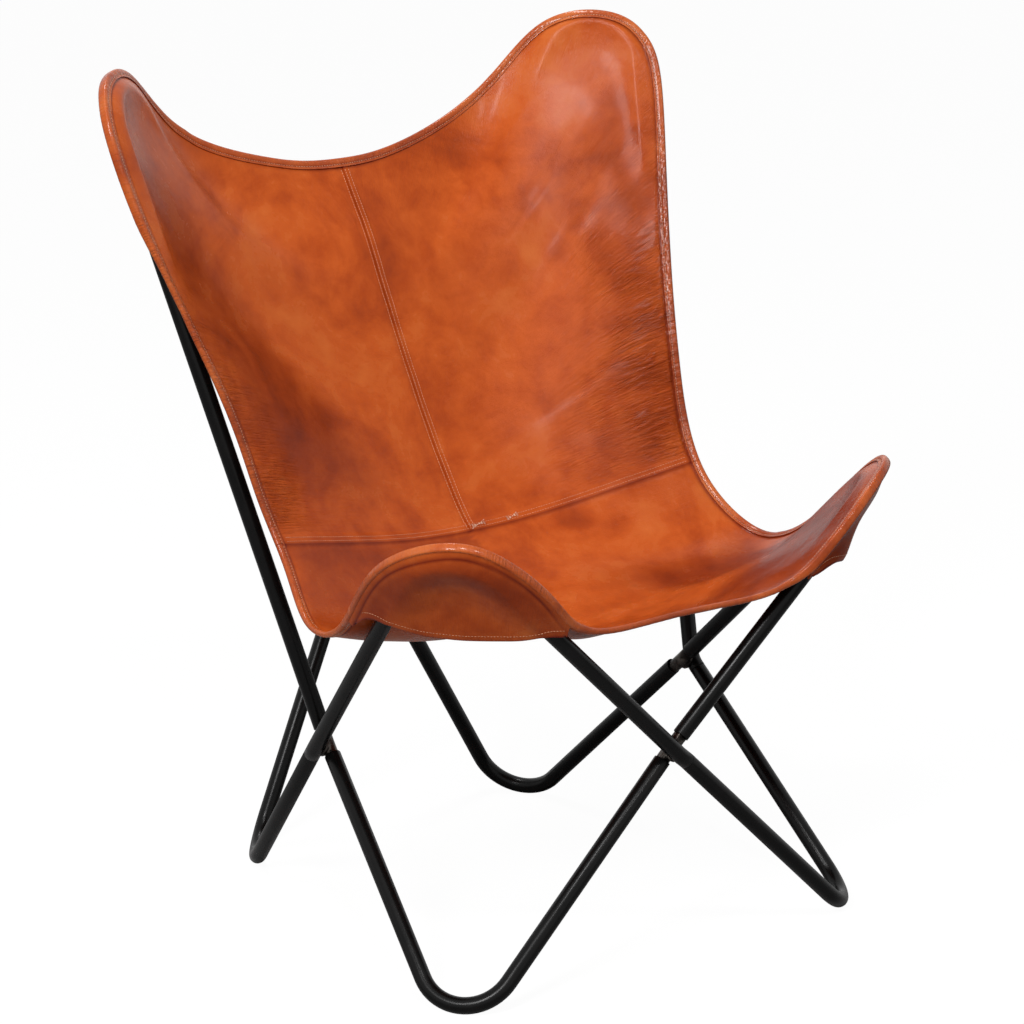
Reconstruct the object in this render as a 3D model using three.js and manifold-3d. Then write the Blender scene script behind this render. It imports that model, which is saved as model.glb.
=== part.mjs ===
import * as THREE from 'three';
import { mergeVertices } from 'three/addons/utils/BufferGeometryUtils.js';
import Module from 'manifold-3d';

// Butterfly sling chair. Millimetres, +Z up. The sitter looks along -Y, and +X is at the right
// of a person who stands in front of the chair and looks at it. The origin is on the floor.

const wasm = await Module();
wasm.setup();

// Steel tube of the frame
const tubeDiameter = 18;
const tubeWall = 1.2;
const bendRadius = 52.5;
const crossingBendRadius = 34;
const seatGap = 0.3;

// Plug joints between the bent tubes
const spigotDepth = 32;
const weldShare = 0.7;
const seamWeldClearance = 3.5;
const upperWeldClearance = 9.5;
const lowerWeldClearance = 2;

// Where the tubes cross: at each side, at the front and at the back
const sideCrossingX = 250;
const sideCrossingY = -2.1;
const sideCrossingZ = 215.3;
const frontCrossingY = -293.7;
const frontCrossingZ = 239;
const backCrossingY = 296.4;
const backCrossingZ = 332.8;

// Virtual corners, where the straight legs of each bent tube would meet
const backTipX = 379.5;
const backTipY = 298.6;
const backTipZ = 1072.5;
const frontTipX = 311;
const frontTipY = -309.8;
const frontTipZ = 545.5;
const frontFootX = 280;
const frontFootY = -289.8;
const backFootX = 190.5;
const backFootY = 255;
const floorFlatDepth = 0.5;

// The tips of the inner loop, at the left back and the right front, stand lower by these drops
const innerBackTipDrop = 8;
const innerFrontTipDrop = 5;

// Leather of the sling
const leatherThickness = 2.6;
const bindingThickness = 1.2;
const bindingWidth = 10;
const backRimMargin = 14.5;
const frontRimMargin = 26.5;
const bindingGap = 0.5;
const pocketBulge = 4;
const pocketEndDepth = 2.5;
const pocketSlack = 1.2;
const facetAllowance = 1.8;

// Fineness of the facets
const tubeSides = 14;
const boreSides = 10;
const degreesPerBendStep = 13;

const tubeRadius = tubeDiameter / 2;
const boreRadius = tubeRadius - tubeWall;
const spigotRadius = boreRadius - seatGap;
const weldRadius = 2 * spigotRadius * weldShare;
const seamDrop = weldRadius + seamWeldClearance;
const upperSocketSetback = weldRadius + upperWeldClearance;
const lowerSocketSetback = weldRadius + lowerWeldClearance;
const loopSpacing = tubeRadius + spigotRadius + seatGap;
const steelBlack = { color: 0x0d0c0b, roughness: 0.32, metalness: 0.1 };
const steelBare = { color: 0x8f8d8a, roughness: 0.35, metalness: 1 };
const cognacLeather = { color: 0xb0501f, roughness: 0.4, metalness: 0 };
const saddleLeather = { color: 0x9c4219, roughness: 0.45, metalness: 0 };

const chair = new THREE.Group();

function addNode(name, geometry, finish) {
  const mesh = new THREE.Mesh(geometry, new THREE.MeshStandardMaterial(finish));
  mesh.name = name;
  chair.add(mesh);
}

function vec(x, y, z) {
  return new THREE.Vector3(x, y, z);
}

// Solids from closed meshes, for cuts and joins

function toSolid(geometry) {
  const bare = geometry.clone();
  bare.deleteAttribute('normal');
  bare.deleteAttribute('uv');
  const merged = mergeVertices(bare);
  const vertProperties = new Float32Array(merged.attributes.position.array);
  const triVerts = new Uint32Array(merged.index.array);
  return new wasm.Manifold(new wasm.Mesh({ numProp: 3, vertProperties, triVerts }));
}

function toGeometry(solid) {
  const { vertProperties, triVerts } = solid.getMesh();
  const geometry = new THREE.BufferGeometry();
  geometry.setAttribute('position', new THREE.BufferAttribute(new Float32Array(vertProperties), 3));
  geometry.setIndex(new THREE.BufferAttribute(new Uint32Array(triVerts), 1));
  geometry.computeVertexNormals();
  return geometry;
}

// A bend: the arc that rounds the corner between two straight legs

function roundCorner(before, corner, after, radius) {
  const inward = before.clone().sub(corner).normalize();
  const outward = after.clone().sub(corner).normalize();
  const halfAngle = inward.angleTo(outward) / 2;
  const bisector = inward.clone().add(outward).normalize();
  const centre = corner.clone().addScaledVector(bisector, radius / Math.sin(halfAngle));
  const axis = outward.clone().cross(inward).normalize();
  const start = corner.clone().addScaledVector(inward, radius / Math.tan(halfAngle));
  const turn = Math.PI - 2 * halfAngle;
  const steps = Math.max(1, Math.round(THREE.MathUtils.radToDeg(turn) / degreesPerBendStep));
  const stations = [];
  for (let step = 0; step <= steps; step += 1) {
    const angle = (turn * step) / steps;
    const point = start.clone().sub(centre).applyAxisAngle(axis, angle).add(centre);
    const heading = inward.clone().negate().applyAxisAngle(axis, angle);
    stations.push({ point, heading });
  }
  return { stations, centre, bisector, axis, halfAngle };
}

// The height of a foot's virtual corner that sets the bottom of the bend on the floor

function footCornerHeight(x, y, before, after) {
  const wantedHeight = tubeRadius - floorFlatDepth;
  let height = 0;
  for (let round = 0; round < 40; round += 1) {
    const bend = roundCorner(before, vec(x, y, height), after, bendRadius);
    const lowest = bend.centre.z - bendRadius * Math.sqrt(1 - bend.axis.z ** 2);
    height += wantedHeight - lowest;
  }
  return height;
}

// The two closed loops of tube. The outer loop passes outside the inner one at each crossing.

function crossingPoints(outward) {
  const shift = (outward * loopSpacing) / 2;
  return {
    left: vec(-sideCrossingX - shift, sideCrossingY, sideCrossingZ),
    right: vec(sideCrossingX + shift, sideCrossingY, sideCrossingZ),
    front: vec(0, frontCrossingY - shift, frontCrossingZ),
    back: vec(0, backCrossingY + shift, backCrossingZ),
  };
}

const tipDrops = {
  '-1': { back: innerBackTipDrop, front: 0 },
  1: { back: 0, front: innerFrontTipDrop },
};

function tipCorner(end, side) {
  const drop = tipDrops[side][end];
  if (end === 'back') {
    return vec(side * backTipX, backTipY, backTipZ - drop);
  }
  return vec(side * frontTipX, frontTipY, frontTipZ - drop);
}

function footCorner(end, side, before, after) {
  const x = side * (end === 'back' ? backFootX : frontFootX);
  const y = end === 'back' ? backFootY : frontFootY;
  return vec(x, y, footCornerHeight(x, y, before, after));
}

// Corners alternate: tip, crossing, foot, crossing. Each entry names its own corner.

function loopCorners(points, plan) {
  const corners = plan.map((entry) => {
    if (entry.crossing) {
      return { ...entry, point: points[entry.crossing], radius: crossingBendRadius };
    }
    return { ...entry, radius: bendRadius };
  });
  corners.forEach((corner, index) => {
    const before = corners[(index + corners.length - 1) % corners.length];
    const after = corners[(index + 1) % corners.length];
    if (corner.tip) {
      corner.point = tipCorner(corner.tip, corner.side);
    } else if (corner.foot) {
      corner.point = footCorner(corner.foot, corner.side, before.point, after.point);
    }
  });
  return corners;
}

function closedLoop(points, plan) {
  const corners = loopCorners(points, plan);
  const stations = [];
  const bends = {};
  let distance = 0;
  corners.forEach((corner, index) => {
    const before = corners[(index + corners.length - 1) % corners.length].point;
    const after = corners[(index + 1) % corners.length].point;
    const bend = roundCorner(before, corner.point, after, corner.radius);
    const first = stations.length;
    bend.stations.forEach((station) => {
      if (stations.length > 0) {
        distance += station.point.distanceTo(stations[stations.length - 1].point);
      }
      stations.push({ ...station, distance });
    });
    const middle = (stations[first].distance + distance) / 2;
    bends[corner.name] = { ...bend, middle };
  });
  const lapLength = distance + stations[0].point.distanceTo(stations[stations.length - 1].point);
  return { stations, bends, lapLength };
}

const innerPlan = [
  { name: 'backLeftTip', tip: 'back', side: -1 },
  { name: 'left', crossing: 'left' },
  { name: 'frontLeftFoot', foot: 'front', side: -1 },
  { name: 'front', crossing: 'front' },
  { name: 'frontRightTip', tip: 'front', side: 1 },
  { name: 'right', crossing: 'right' },
  { name: 'backRightFoot', foot: 'back', side: 1 },
  { name: 'back', crossing: 'back' },
];

const outerPlan = [
  { name: 'frontLeftTip', tip: 'front', side: -1 },
  { name: 'front', crossing: 'front' },
  { name: 'frontRightFoot', foot: 'front', side: 1 },
  { name: 'right', crossing: 'right' },
  { name: 'backRightTip', tip: 'back', side: 1 },
  { name: 'back', crossing: 'back' },
  { name: 'backLeftFoot', foot: 'back', side: -1 },
  { name: 'left', crossing: 'left' },
];

const innerLoop = closedLoop(crossingPoints(-1), innerPlan);
const outerLoop = closedLoop(crossingPoints(1), outerPlan);

// A stretch of a loop between two distances along it

function stationAt(loop, distance) {
  const wrapped = ((distance % loop.lapLength) + loop.lapLength) % loop.lapLength;
  const { stations } = loop;
  let index = stations.findIndex((station) => station.distance > wrapped);
  if (index < 0) {
    index = stations.length;
  }
  const before = stations[(index + stations.length - 1) % stations.length];
  const after = stations[index % stations.length];
  const share = (wrapped - before.distance) / before.point.distanceTo(after.point);
  return {
    point: before.point.clone().lerp(after.point, share),
    heading: before.heading.clone().lerp(after.heading, share).normalize(),
  };
}

function stretch(loop, from, to) {
  const inside = [];
  [0, loop.lapLength].forEach((lap) => {
    loop.stations.forEach((station) => {
      const distance = station.distance + lap;
      if (distance > from + seatGap && distance < to - seatGap) {
        inside.push(station);
      }
    });
  });
  return [stationAt(loop, from), ...inside, stationAt(loop, to)];
}

// A centre line whose spaced points are its stations

class CentreLine extends THREE.Curve {
  constructor(stations) {
    super();
    this.stations = stations;
  }

  between(share, key, target) {
    const last = this.stations.length - 1;
    const index = Math.min(Math.floor(share * last), last - 1);
    const rest = share * last - index;
    return target.copy(this.stations[index][key]).lerp(this.stations[index + 1][key], rest);
  }

  getPoint(share, target = new THREE.Vector3()) {
    return this.between(share, 'point', target);
  }

  getTangent(share, target = new THREE.Vector3()) {
    return this.between(share, 'heading', target).normalize();
  }

  getUtoTmapping(share) {
    return share;
  }
}

function ring(radius, sides, PathClass) {
  const points = [];
  for (let side = 0; side < sides; side += 1) {
    const angle = (2 * Math.PI * side) / sides;
    points.push(new THREE.Vector2(radius * Math.cos(angle), radius * Math.sin(angle)));
  }
  return new PathClass(points);
}

function sweep(stations, outerRadius, innerRadius) {
  const section = ring(outerRadius, tubeSides, THREE.Shape);
  if (innerRadius > 0) {
    const flatToFlat = innerRadius / Math.cos(Math.PI / boreSides);
    section.holes.push(ring(flatToFlat, boreSides, THREE.Path));
  }
  return new THREE.ExtrudeGeometry(section, {
    steps: stations.length - 1,
    extrudePath: new CentreLine(stations),
    bevelEnabled: false,
  });
}

function hollowTube(loop, from, to) {
  return sweep(stretch(loop, from, to), tubeRadius, boreRadius);
}

// A foot tube has a small flat where it stands on the floor

function standOnFloor(geometry) {
  const reach = bendRadius * 4;
  const slab = new THREE.BoxGeometry(reach * 4, reach * 4, reach);
  slab.translate(0, 0, -reach / 2);
  return toGeometry(toSolid(geometry).subtract(toSolid(slab)));
}

// Distances at which a loop's tubes end, past or short of a crossing's middle

function tubeEnds(loop, plan, isOuter) {
  const tubes = [];
  plan.forEach((corner, index) => {
    if (corner.crossing) {
      return;
    }
    const before = plan[(index + plan.length - 1) % plan.length].name;
    const after = plan[(index + 1) % plan.length].name;
    let from = loop.bends[before].middle;
    let to = loop.bends[after].middle;
    if (from > loop.bends[corner.name].middle) {
      from -= loop.lapLength;
    }
    if (to < loop.bends[corner.name].middle) {
      to += loop.lapLength;
    }
    if (isOuter) {
      const past = corner.tip ? seamDrop : -seamDrop - seatGap;
      tubes.push({ corner, from: from - past, to: to + past });
    } else {
      const short = corner.tip ? upperSocketSetback : lowerSocketSetback;
      tubes.push({ corner, from: from + short, to: to - short });
    }
  });
  return tubes;
}

const tubeNames = {
  backLeftTip: 'back_left_tip_tube',
  backRightTip: 'back_right_tip_tube',
  frontLeftTip: 'front_left_tip_tube',
  frontRightTip: 'front_right_tip_tube',
  backLeftFoot: 'back_left_foot_tube',
  backRightFoot: 'back_right_foot_tube',
  frontLeftFoot: 'front_left_foot_tube',
  frontRightFoot: 'front_right_foot_tube',
};

function addTubes(loop, plan, isOuter) {
  tubeEnds(loop, plan, isOuter).forEach(({ corner, from, to }) => {
    const start = from < 0 ? from + loop.lapLength : from;
    const end = from < 0 ? to + loop.lapLength : to;
    const tube = hollowTube(loop, start, end);
    const seated = corner.foot ? standOnFloor(tube) : tube;
    addNode(tubeNames[corner.name], seated, steelBlack);
  });
}

addTubes(innerLoop, innerPlan, false);
addTubes(outerLoop, outerPlan, true);

// Plug joints: an in-line spigot in the outer loop and a welded cross spigot for the inner one

function goesDown(plan, crossing) {
  const index = plan.findIndex((corner) => corner.crossing === crossing);
  return Boolean(plan[(index + 1) % plan.length].foot);
}

function spigotStretch(loop, plan, crossing, upward, downward) {
  const { middle } = loop.bends[crossing];
  const down = goesDown(plan, crossing);
  const from = middle - (down ? upward : downward) + loop.lapLength;
  const to = middle + (down ? downward : upward) + loop.lapLength;
  return stretch(loop, from, to);
}

function inlineSpigot(crossing) {
  const upward = spigotDepth - seamDrop;
  const stations = spigotStretch(outerLoop, outerPlan, crossing, upward, seamDrop + spigotDepth);
  return sweep(stations, spigotRadius, 0);
}

function crossSpigot(crossing) {
  const upward = upperSocketSetback + spigotDepth;
  const downward = lowerSocketSetback + spigotDepth;
  const stations = spigotStretch(innerLoop, innerPlan, crossing, upward, downward);
  const rod = toSolid(sweep(stations, spigotRadius, 0));
  const innerPoint = crossingPoints(-1)[crossing];
  const outerPoint = crossingPoints(1)[crossing];
  const contact = innerPoint.clone().lerp(outerPoint, spigotRadius / loopSpacing);
  const weld = new THREE.SphereGeometry(weldRadius, tubeSides, tubeSides / 2);
  weld.translate(contact.x, contact.y, contact.z);
  const reach = spigotDepth;
  const passing = spigotStretch(outerLoop, outerPlan, crossing, reach, reach);
  const keepOut = toSolid(sweep(passing, tubeRadius + seatGap, 0));
  return toGeometry(rod.add(toSolid(weld)).subtract(keepOut));
}

['left', 'right', 'front', 'back'].forEach((crossing) => {
  addNode(`${crossing}_inline_spigot`, inlineSpigot(crossing), steelBare);
  addNode(`${crossing}_cross_spigot`, crossSpigot(crossing), steelBare);
});

// The plane of each tip's bent tube, seen from the sitter's side, mirrored to the right half

function tipFrame(loop, name, side) {
  const bend = loop.bends[name];
  const mirror = vec(side, 1, 1);
  const centre = bend.centre.clone().multiply(mirror);
  const outward = bend.bisector.clone().negate().multiply(mirror);
  const lengthwise = bend.axis.clone().multiply(mirror);
  const normal = lengthwise.x < 0 ? lengthwise : lengthwise.negate();
  const across = normal.clone().cross(outward);
  return { centre, outward, across, normal, halfAngle: bend.halfAngle };
}

const tipFrames = {
  '-1': {
    back: tipFrame(innerLoop, 'backLeftTip', -1),
    front: tipFrame(outerLoop, 'frontLeftTip', -1),
  },
  1: {
    back: tipFrame(outerLoop, 'backRightTip', 1),
    front: tipFrame(innerLoop, 'frontRightTip', 1),
  },
};

// Outline of the sling: half of a closed spline, from the middle of the top edge round the
// back tip, down the side, round the front tip and to the middle of the front edge.
// Tip rows are an angle from the tip's middle and a share of the rim's radius there. The
// sling is measured on the tips of the outer loop and is lowered at those of the inner one.

const backRimRadius = bendRadius + tubeRadius + backRimMargin;
const frontRimRadius = bendRadius + tubeRadius + frontRimMargin;
const topEdgeShares = [[0, 1.117, 0.796], [0.193, 1.13, 0.797], [0.467, 1.132, 0.86]];
const backTipShares = [[103, 1.49], [49, 1.17], [-18, 0.98], [-51, 1], [-79, 1.12], [-133, 1.87]];
const sideShares = [
  [1.014, 0.715, 0.44],
  [0.956, 0.644, 0.238],
  [0.933, 0.6, 0.072],
  [0.908, 0.516, -0.078],
  [0.98, 0.402, -0.196],
  [0.988, 0.275, -0.184],
];
const frontTipShares = [[101, 1.32], [55, 1.06], [-2, 1], [-38, 0.99], [-93, 1.18], [-125, 1.6]];
const frontEdgeShares = [[0, -0.097, -0.118]];

// Where each rib of the sling meets its middle line, as shares of the same spans

const footShares = [
  [1.04, 0.645],
  [1.025, 0.613],
  [1.002, 0.562],
  [0.975, 0.499],
  [0.948, 0.438],
  [0.925, 0.384],
  [0.902, 0.335],
  [0.876, 0.282],
  [0.839, 0.204],
  [0.795, 0.113],
  [0.745, 0.018],
  [0.688, -0.079],
  [0.615, -0.172],
  [0.531, -0.246],
  [0.451, -0.283],
  [0.38, -0.298],
  [0.317, -0.299],
  [0.259, -0.292],
  [0.206, -0.278],
  [0.16, -0.26],
  [0.125, -0.242],
  [0.102, -0.23],
];

// Where the pockets begin and end and where the seam between the back panels and the seat
// panel crosses, as shares of the outline

const backPocketStartShare = 0.119;
const backPocketEndShare = 0.381;
const crossSeamShare = 0.5548;
const frontPocketStartShare = 0.6976;
const frontPocketEndShare = 0.9286;
const halfSeam = seatGap / 2;
const leastColumnShare = 0.006;

const backFrame = tipFrames[1].back;
const frontFrame = tipFrames['-1'].front;

function betweenTips([xShare, yShare, zShare]) {
  const span = backFrame.centre.clone().sub(frontFrame.centre);
  return vec(
    xShare * backFrame.centre.x,
    frontFrame.centre.y + yShare * span.y,
    frontFrame.centre.z + zShare * span.z,
  );
}

function roundTip(frame, rimRadius, [degrees, radiusShare]) {
  const angle = THREE.MathUtils.degToRad(degrees);
  const radius = rimRadius * radiusShare;
  return frame.centre
    .clone()
    .addScaledVector(frame.outward, radius * Math.cos(angle))
    .addScaledVector(frame.across, radius * Math.sin(angle))
    .addScaledVector(frame.normal, (leatherThickness + seatGap) / 2);
}

const rimRows = [
  ...topEdgeShares.map(betweenTips),
  ...backTipShares.map((row) => roundTip(backFrame, backRimRadius, row)),
  ...sideShares.map(betweenTips),
  ...frontTipShares.map((row) => roundTip(frontFrame, frontRimRadius, row)),
  ...frontEdgeShares.map(betweenTips),
];
const footRows = footShares.map(([yShare, zShare]) => betweenTips([0, yShare, zShare]));
const lastRow = rimRows.length - 1;
const crossSeamRow = crossSeamShare * lastRow;

// The side that faces the sitter, at chosen rows of the outline

const facingGuide = [
  { row: 0, facing: vec(0, -0.85, 0.53) },
  { row: 3, facing: backFrame.normal },
  { row: 7.5, facing: backFrame.normal },
  { row: 10, facing: vec(-0.3, -0.85, 0.36) },
  { row: 11.7, facing: vec(-0.28, -0.6, 0.75) },
  { row: 13.5, facing: vec(-0.33, 0, 0.94) },
  { row: 15.5, facing: frontFrame.normal },
  { row: 18.2, facing: frontFrame.normal },
  { row: lastRow, facing: vec(0, 0.33, 0.94) },
];

function facingAt(row) {
  let index = facingGuide.findIndex((guide) => guide.row >= row);
  index = Math.max(index, 1);
  const before = facingGuide[index - 1];
  const after = facingGuide[index];
  const share = THREE.MathUtils.smoothstep(row, before.row, after.row);
  return before.facing.clone().lerp(after.facing, share).normalize();
}

// A smooth curve guided by rows of points that are mirrored about the middle of the chair

function mirroredRow(rows, index) {
  if (index < 0) {
    return rows[-index].clone().multiply(vec(-1, 1, 1));
  }
  if (index > lastRow) {
    return rows[2 * lastRow - index].clone().multiply(vec(-1, 1, 1));
  }
  return rows[index];
}

function splinePoint(rows, row) {
  const start = Math.min(Math.floor(row), lastRow - 1);
  const u = row - start;
  const weights = [
    (1 - u) ** 3,
    3 * u ** 3 - 6 * u ** 2 + 4,
    -3 * u ** 3 + 3 * u ** 2 + 3 * u + 1,
    u ** 3,
  ];
  const point = new THREE.Vector3();
  weights.forEach((weight, offset) => {
    point.addScaledVector(mirroredRow(rows, start + offset - 1), weight / 6);
  });
  return point;
}

// A rib leaves the rim in the plane of the sheet there and reaches the middle line level

const rimHandleShare = 0.36;
const squareLean = 0.5;
const middleHandleShare = 0.38;
const tangentStep = 0.01;

function ribAt(row) {
  const rim = splinePoint(rimRows, row);
  const foot = splinePoint(footRows, row);
  const low = Math.max(row - tangentStep, 0);
  const high = Math.min(row + tangentStep, lastRow);
  const along = splinePoint(rimRows, high).sub(splinePoint(rimRows, low)).normalize();
  const toFoot = foot.clone().sub(rim);
  const facing = facingAt(row);
  const square = along.clone().cross(facing).normalize();
  const leaving = toFoot.clone().projectOnPlane(facing).normalize();
  leaving.addScaledVector(square, squareLean).normalize();
  const handle = rimHandleShare * toFoot.length();
  const nearRim = rim.clone().addScaledVector(leaving, handle);
  const nearMiddle = foot.clone().add(vec(rim.x * middleHandleShare, 0, 0));
  const squareSpeed = 3 * handle * along.cross(leaving).length();
  return { row, rim, foot, nearRim, nearMiddle, squareSpeed };
}

// A rib at a tip of the inner loop is lowered with it, between shares of the outline

const dropShares = { back: [0.06, 0.15, 0.333, 0.452], front: [0.657, 0.714, 0.824, 0.943] };

function sideRib(row, side) {
  const rib = ribAt(row);
  const share = row / lastRow;
  ['back', 'front'].forEach((end) => {
    const [start, full, fading, gone] = dropShares[end];
    const rising = THREE.MathUtils.smoothstep(share, start, full);
    const falling = 1 - THREE.MathUtils.smoothstep(share, fading, gone);
    const drop = vec(0, 0, -tipDrops[side][end] * rising * falling);
    rib.rim.add(drop);
    rib.nearRim.add(drop);
  });
  return rib;
}

function ribPoint(rib, share) {
  const rest = 1 - share;
  return rib.rim
    .clone()
    .multiplyScalar(rest ** 3)
    .addScaledVector(rib.nearRim, 3 * rest ** 2 * share)
    .addScaledVector(rib.nearMiddle, 3 * rest * share ** 2)
    .addScaledVector(rib.foot, share ** 3);
}

// Places relative to a tip: along and across its middle, and the height in front of its plane

function inFrame(frame, point) {
  const offset = point.clone().sub(frame.centre);
  return {
    out: offset.dot(frame.outward),
    across: offset.dot(frame.across),
    height: offset.dot(frame.normal),
  };
}

function fromFrame(frame, { out, across, height }) {
  return frame.centre
    .clone()
    .addScaledVector(frame.outward, out)
    .addScaledVector(frame.across, across)
    .addScaledVector(frame.normal, height);
}

// How far outside the centre line of the tip's tube a place lies, in the tube's own plane

function outsideTube(frame, { out, across }) {
  const legAngle = Math.PI / 2 - frame.halfAngle;
  if (Math.abs(Math.atan2(across, out)) <= legAngle) {
    return Math.hypot(out, across) - bendRadius;
  }
  return out * Math.cos(legAngle) + Math.abs(across) * Math.sin(legAngle) - bendRadius;
}

// The height at which a sheet clears the tube: round its crest, then straight to the rim

const clearHeight = tubeRadius + seatGap + leatherThickness / 2 + facetAllowance;
const innerSlope = THREE.MathUtils.degToRad(14);

function drapedHeight(outside, slope) {
  if (Math.abs(outside) <= clearHeight * Math.sin(slope)) {
    return Math.sqrt(clearHeight ** 2 - outside ** 2);
  }
  return (clearHeight - Math.abs(outside) * Math.sin(slope)) / Math.cos(slope);
}

function slopeToRim(reach, height) {
  const straight = Math.max(Math.hypot(reach, height), clearHeight);
  return Math.max(Math.asin(clearHeight / straight) - Math.atan2(height, reach), 0);
}

function clearTubes(point, rib, side) {
  ['back', 'front'].forEach((end) => {
    const frame = tipFrames[side][end];
    const local = inFrame(frame, point);
    const rimLocal = inFrame(frame, rib.rim);
    const outside = outsideTube(frame, local);
    const rimReach = Math.max(outsideTube(frame, rimLocal), clearHeight);
    const slope = outside > 0 ? slopeToRim(rimReach, rimLocal.height) : innerSlope;
    const short = drapedHeight(outside, slope) - local.height;
    const lift = (short + Math.hypot(short, seatGap)) / 2;
    point.addScaledVector(frame.normal, lift);
  });
  return point;
}

// Columns of a sheet: at the rim, over the tube's crest, then shares of the open field

const rimColumns = [0, bindingWidth / 2, bindingWidth];
const crestOffsets = [0.9, 0, -0.9, -2.2];
const crestLimits = [0.09, 0.13, 0.17, 0.22];
const openColumnShares = [0.14, 0.3, 0.47, 0.64, 0.82, 1];
const searchLimit = 0.3;

// The share of a path, at most the limit, at which it comes down to a distance from the tube

function shareAtOffset(placeAt, frame, wanted, limit) {
  let low = 0;
  let high = 1;
  for (let round = 0; round < 24; round += 1) {
    const middle = (low + high) / 2;
    if (outsideTube(frame, placeAt(middle)) > wanted) {
      low = middle;
    } else {
      high = middle;
    }
  }
  return Math.min(high, limit);
}

function columnShares(rib, side) {
  const end = rib.row < crossSeamRow ? 'back' : 'front';
  const frame = tipFrames[side][end];
  const placeAt = (share) => inFrame(frame, ribPoint(rib, share * searchLimit));
  const shares = rimColumns.map((distance) => distance / rib.squareSpeed);
  crestOffsets.forEach((offset, index) => {
    const limit = crestLimits[index] / searchLimit;
    const found = shareAtOffset(placeAt, frame, offset * tubeRadius, limit) * searchLimit;
    const least = shares[shares.length - 1] + leastColumnShare;
    shares.push(Math.max(found, least));
  });
  const start = shares[shares.length - 1];
  openColumnShares.forEach((share) => shares.push(start + (1 - start) * share));
  return shares;
}

function sheetRow(row, side) {
  const rib = sideRib(row, side);
  return columnShares(rib, side).map((share) => {
    const point = ribPoint(rib, share);
    return share < 1 ? clearTubes(point, rib, side) : point;
  });
}

// A surface is a grid of places, each with its own normal towards the sitter

function withNormals(points) {
  return points.map((line, i) => line.map((point, j) => {
    const above = points[Math.max(i - 1, 0)][j];
    const below = points[Math.min(i + 1, points.length - 1)][j];
    const outer = line[Math.max(j - 1, 0)];
    const inner = line[Math.min(j + 1, line.length - 1)];
    const along = below.clone().sub(above);
    const normal = inner.clone().sub(outer).cross(along);
    if (point.x < halfSeam) {
      normal.x = 0;
    }
    return { point, normal: normal.normalize() };
  }));
}

function offsetBy(surface, distance) {
  return surface.map((line) => line.map(({ point, normal }) => {
    return point.clone().addScaledVector(normal, distance);
  }));
}

function mirrorSurface(surface) {
  const mirror = vec(-1, 1, 1);
  return surface.map((line) => line.map(({ point, normal }) => {
    return { point: point.clone().multiply(mirror), normal: normal.clone().multiply(mirror) };
  })).reverse();
}

function onSide(surface, side) {
  return side > 0 ? surface : mirrorSurface(surface);
}

// A closed body between two grids. A folded one has its last column joined to itself. The
// facets of the columns before the turn are split the other way, to lie along their sheet.

function closedSheet(front, back, { isFolded = false, turn = 0 } = {}) {
  const rows = front.length;
  const lastColumn = front[0].length - 1;
  const last = rows - 1;
  const positions = [];
  const index = [];
  [front, back].forEach((grid) => {
    grid.forEach((line) => line.forEach((point) => positions.push(point.x, point.y, point.z)));
  });
  const frontAt = (i, j) => i * (lastColumn + 1) + j;
  const backAt = (i, j) => (rows + i) * (lastColumn + 1) + j;
  const quad = (a, b, c, d) => index.push(a, b, c, a, c, d);
  const turnedQuad = (a, b, c, d) => index.push(a, b, d, b, c, d);
  for (let i = 0; i < last; i += 1) {
    for (let j = 0; j < lastColumn; j += 1) {
      const face = j < turn ? turnedQuad : quad;
      face(frontAt(i, j), frontAt(i, j + 1), frontAt(i + 1, j + 1), frontAt(i + 1, j));
      face(backAt(i, j), backAt(i + 1, j), backAt(i + 1, j + 1), backAt(i, j + 1));
    }
    quad(frontAt(i, 0), frontAt(i + 1, 0), backAt(i + 1, 0), backAt(i, 0));
    if (!isFolded) {
      const j = lastColumn;
      quad(frontAt(i + 1, j), frontAt(i, j), backAt(i, j), backAt(i + 1, j));
    }
  }
  for (let j = 0; j < lastColumn; j += 1) {
    quad(frontAt(0, j + 1), frontAt(0, j), backAt(0, j), backAt(0, j + 1));
    quad(frontAt(last, j), frontAt(last, j + 1), backAt(last, j + 1), backAt(last, j));
  }
  const geometry = new THREE.BufferGeometry();
  geometry.setAttribute('position', new THREE.Float32BufferAttribute(positions, 3));
  geometry.setIndex(index);
  geometry.computeVertexNormals();
  return geometry;
}

function thickSheet(surface, isFolded) {
  const half = leatherThickness / 2;
  return closedSheet(offsetBy(surface, half), offsetBy(surface, -half), { isFolded });
}

// The main sheet of each half, from the top edge to the front edge

const rowSpans = [
  { endShare: backPocketStartShare, steps: 4 },
  { endShare: backPocketEndShare, steps: 20 },
  { endShare: crossSeamShare, steps: 6 },
  { endShare: frontPocketStartShare, steps: 5 },
  { endShare: frontPocketEndShare, steps: 15 },
  { endShare: 1, steps: 3 },
];

function spacedRows() {
  const rows = [0];
  const ends = [];
  rowSpans.forEach(({ endShare, steps }) => {
    const from = rows[rows.length - 1];
    const to = endShare * lastRow;
    for (let step = 1; step <= steps; step += 1) {
      rows.push(from + ((to - from) * step) / steps);
    }
    ends.push(rows.length - 1);
  });
  return { rows, ends };
}

const { rows: rowList, ends: spanEnds } = spacedRows();
const [backPocketStart, backPocketEnd, seamStation, frontPocketStart, frontPocketEnd] = spanEnds;

const mainSheets = {
  '-1': withNormals(rowList.map((row) => sheetRow(row, -1))),
  1: withNormals(rowList.map((row) => sheetRow(row, 1))),
};

// A sheet ends half a seam short of its neighbour

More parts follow.
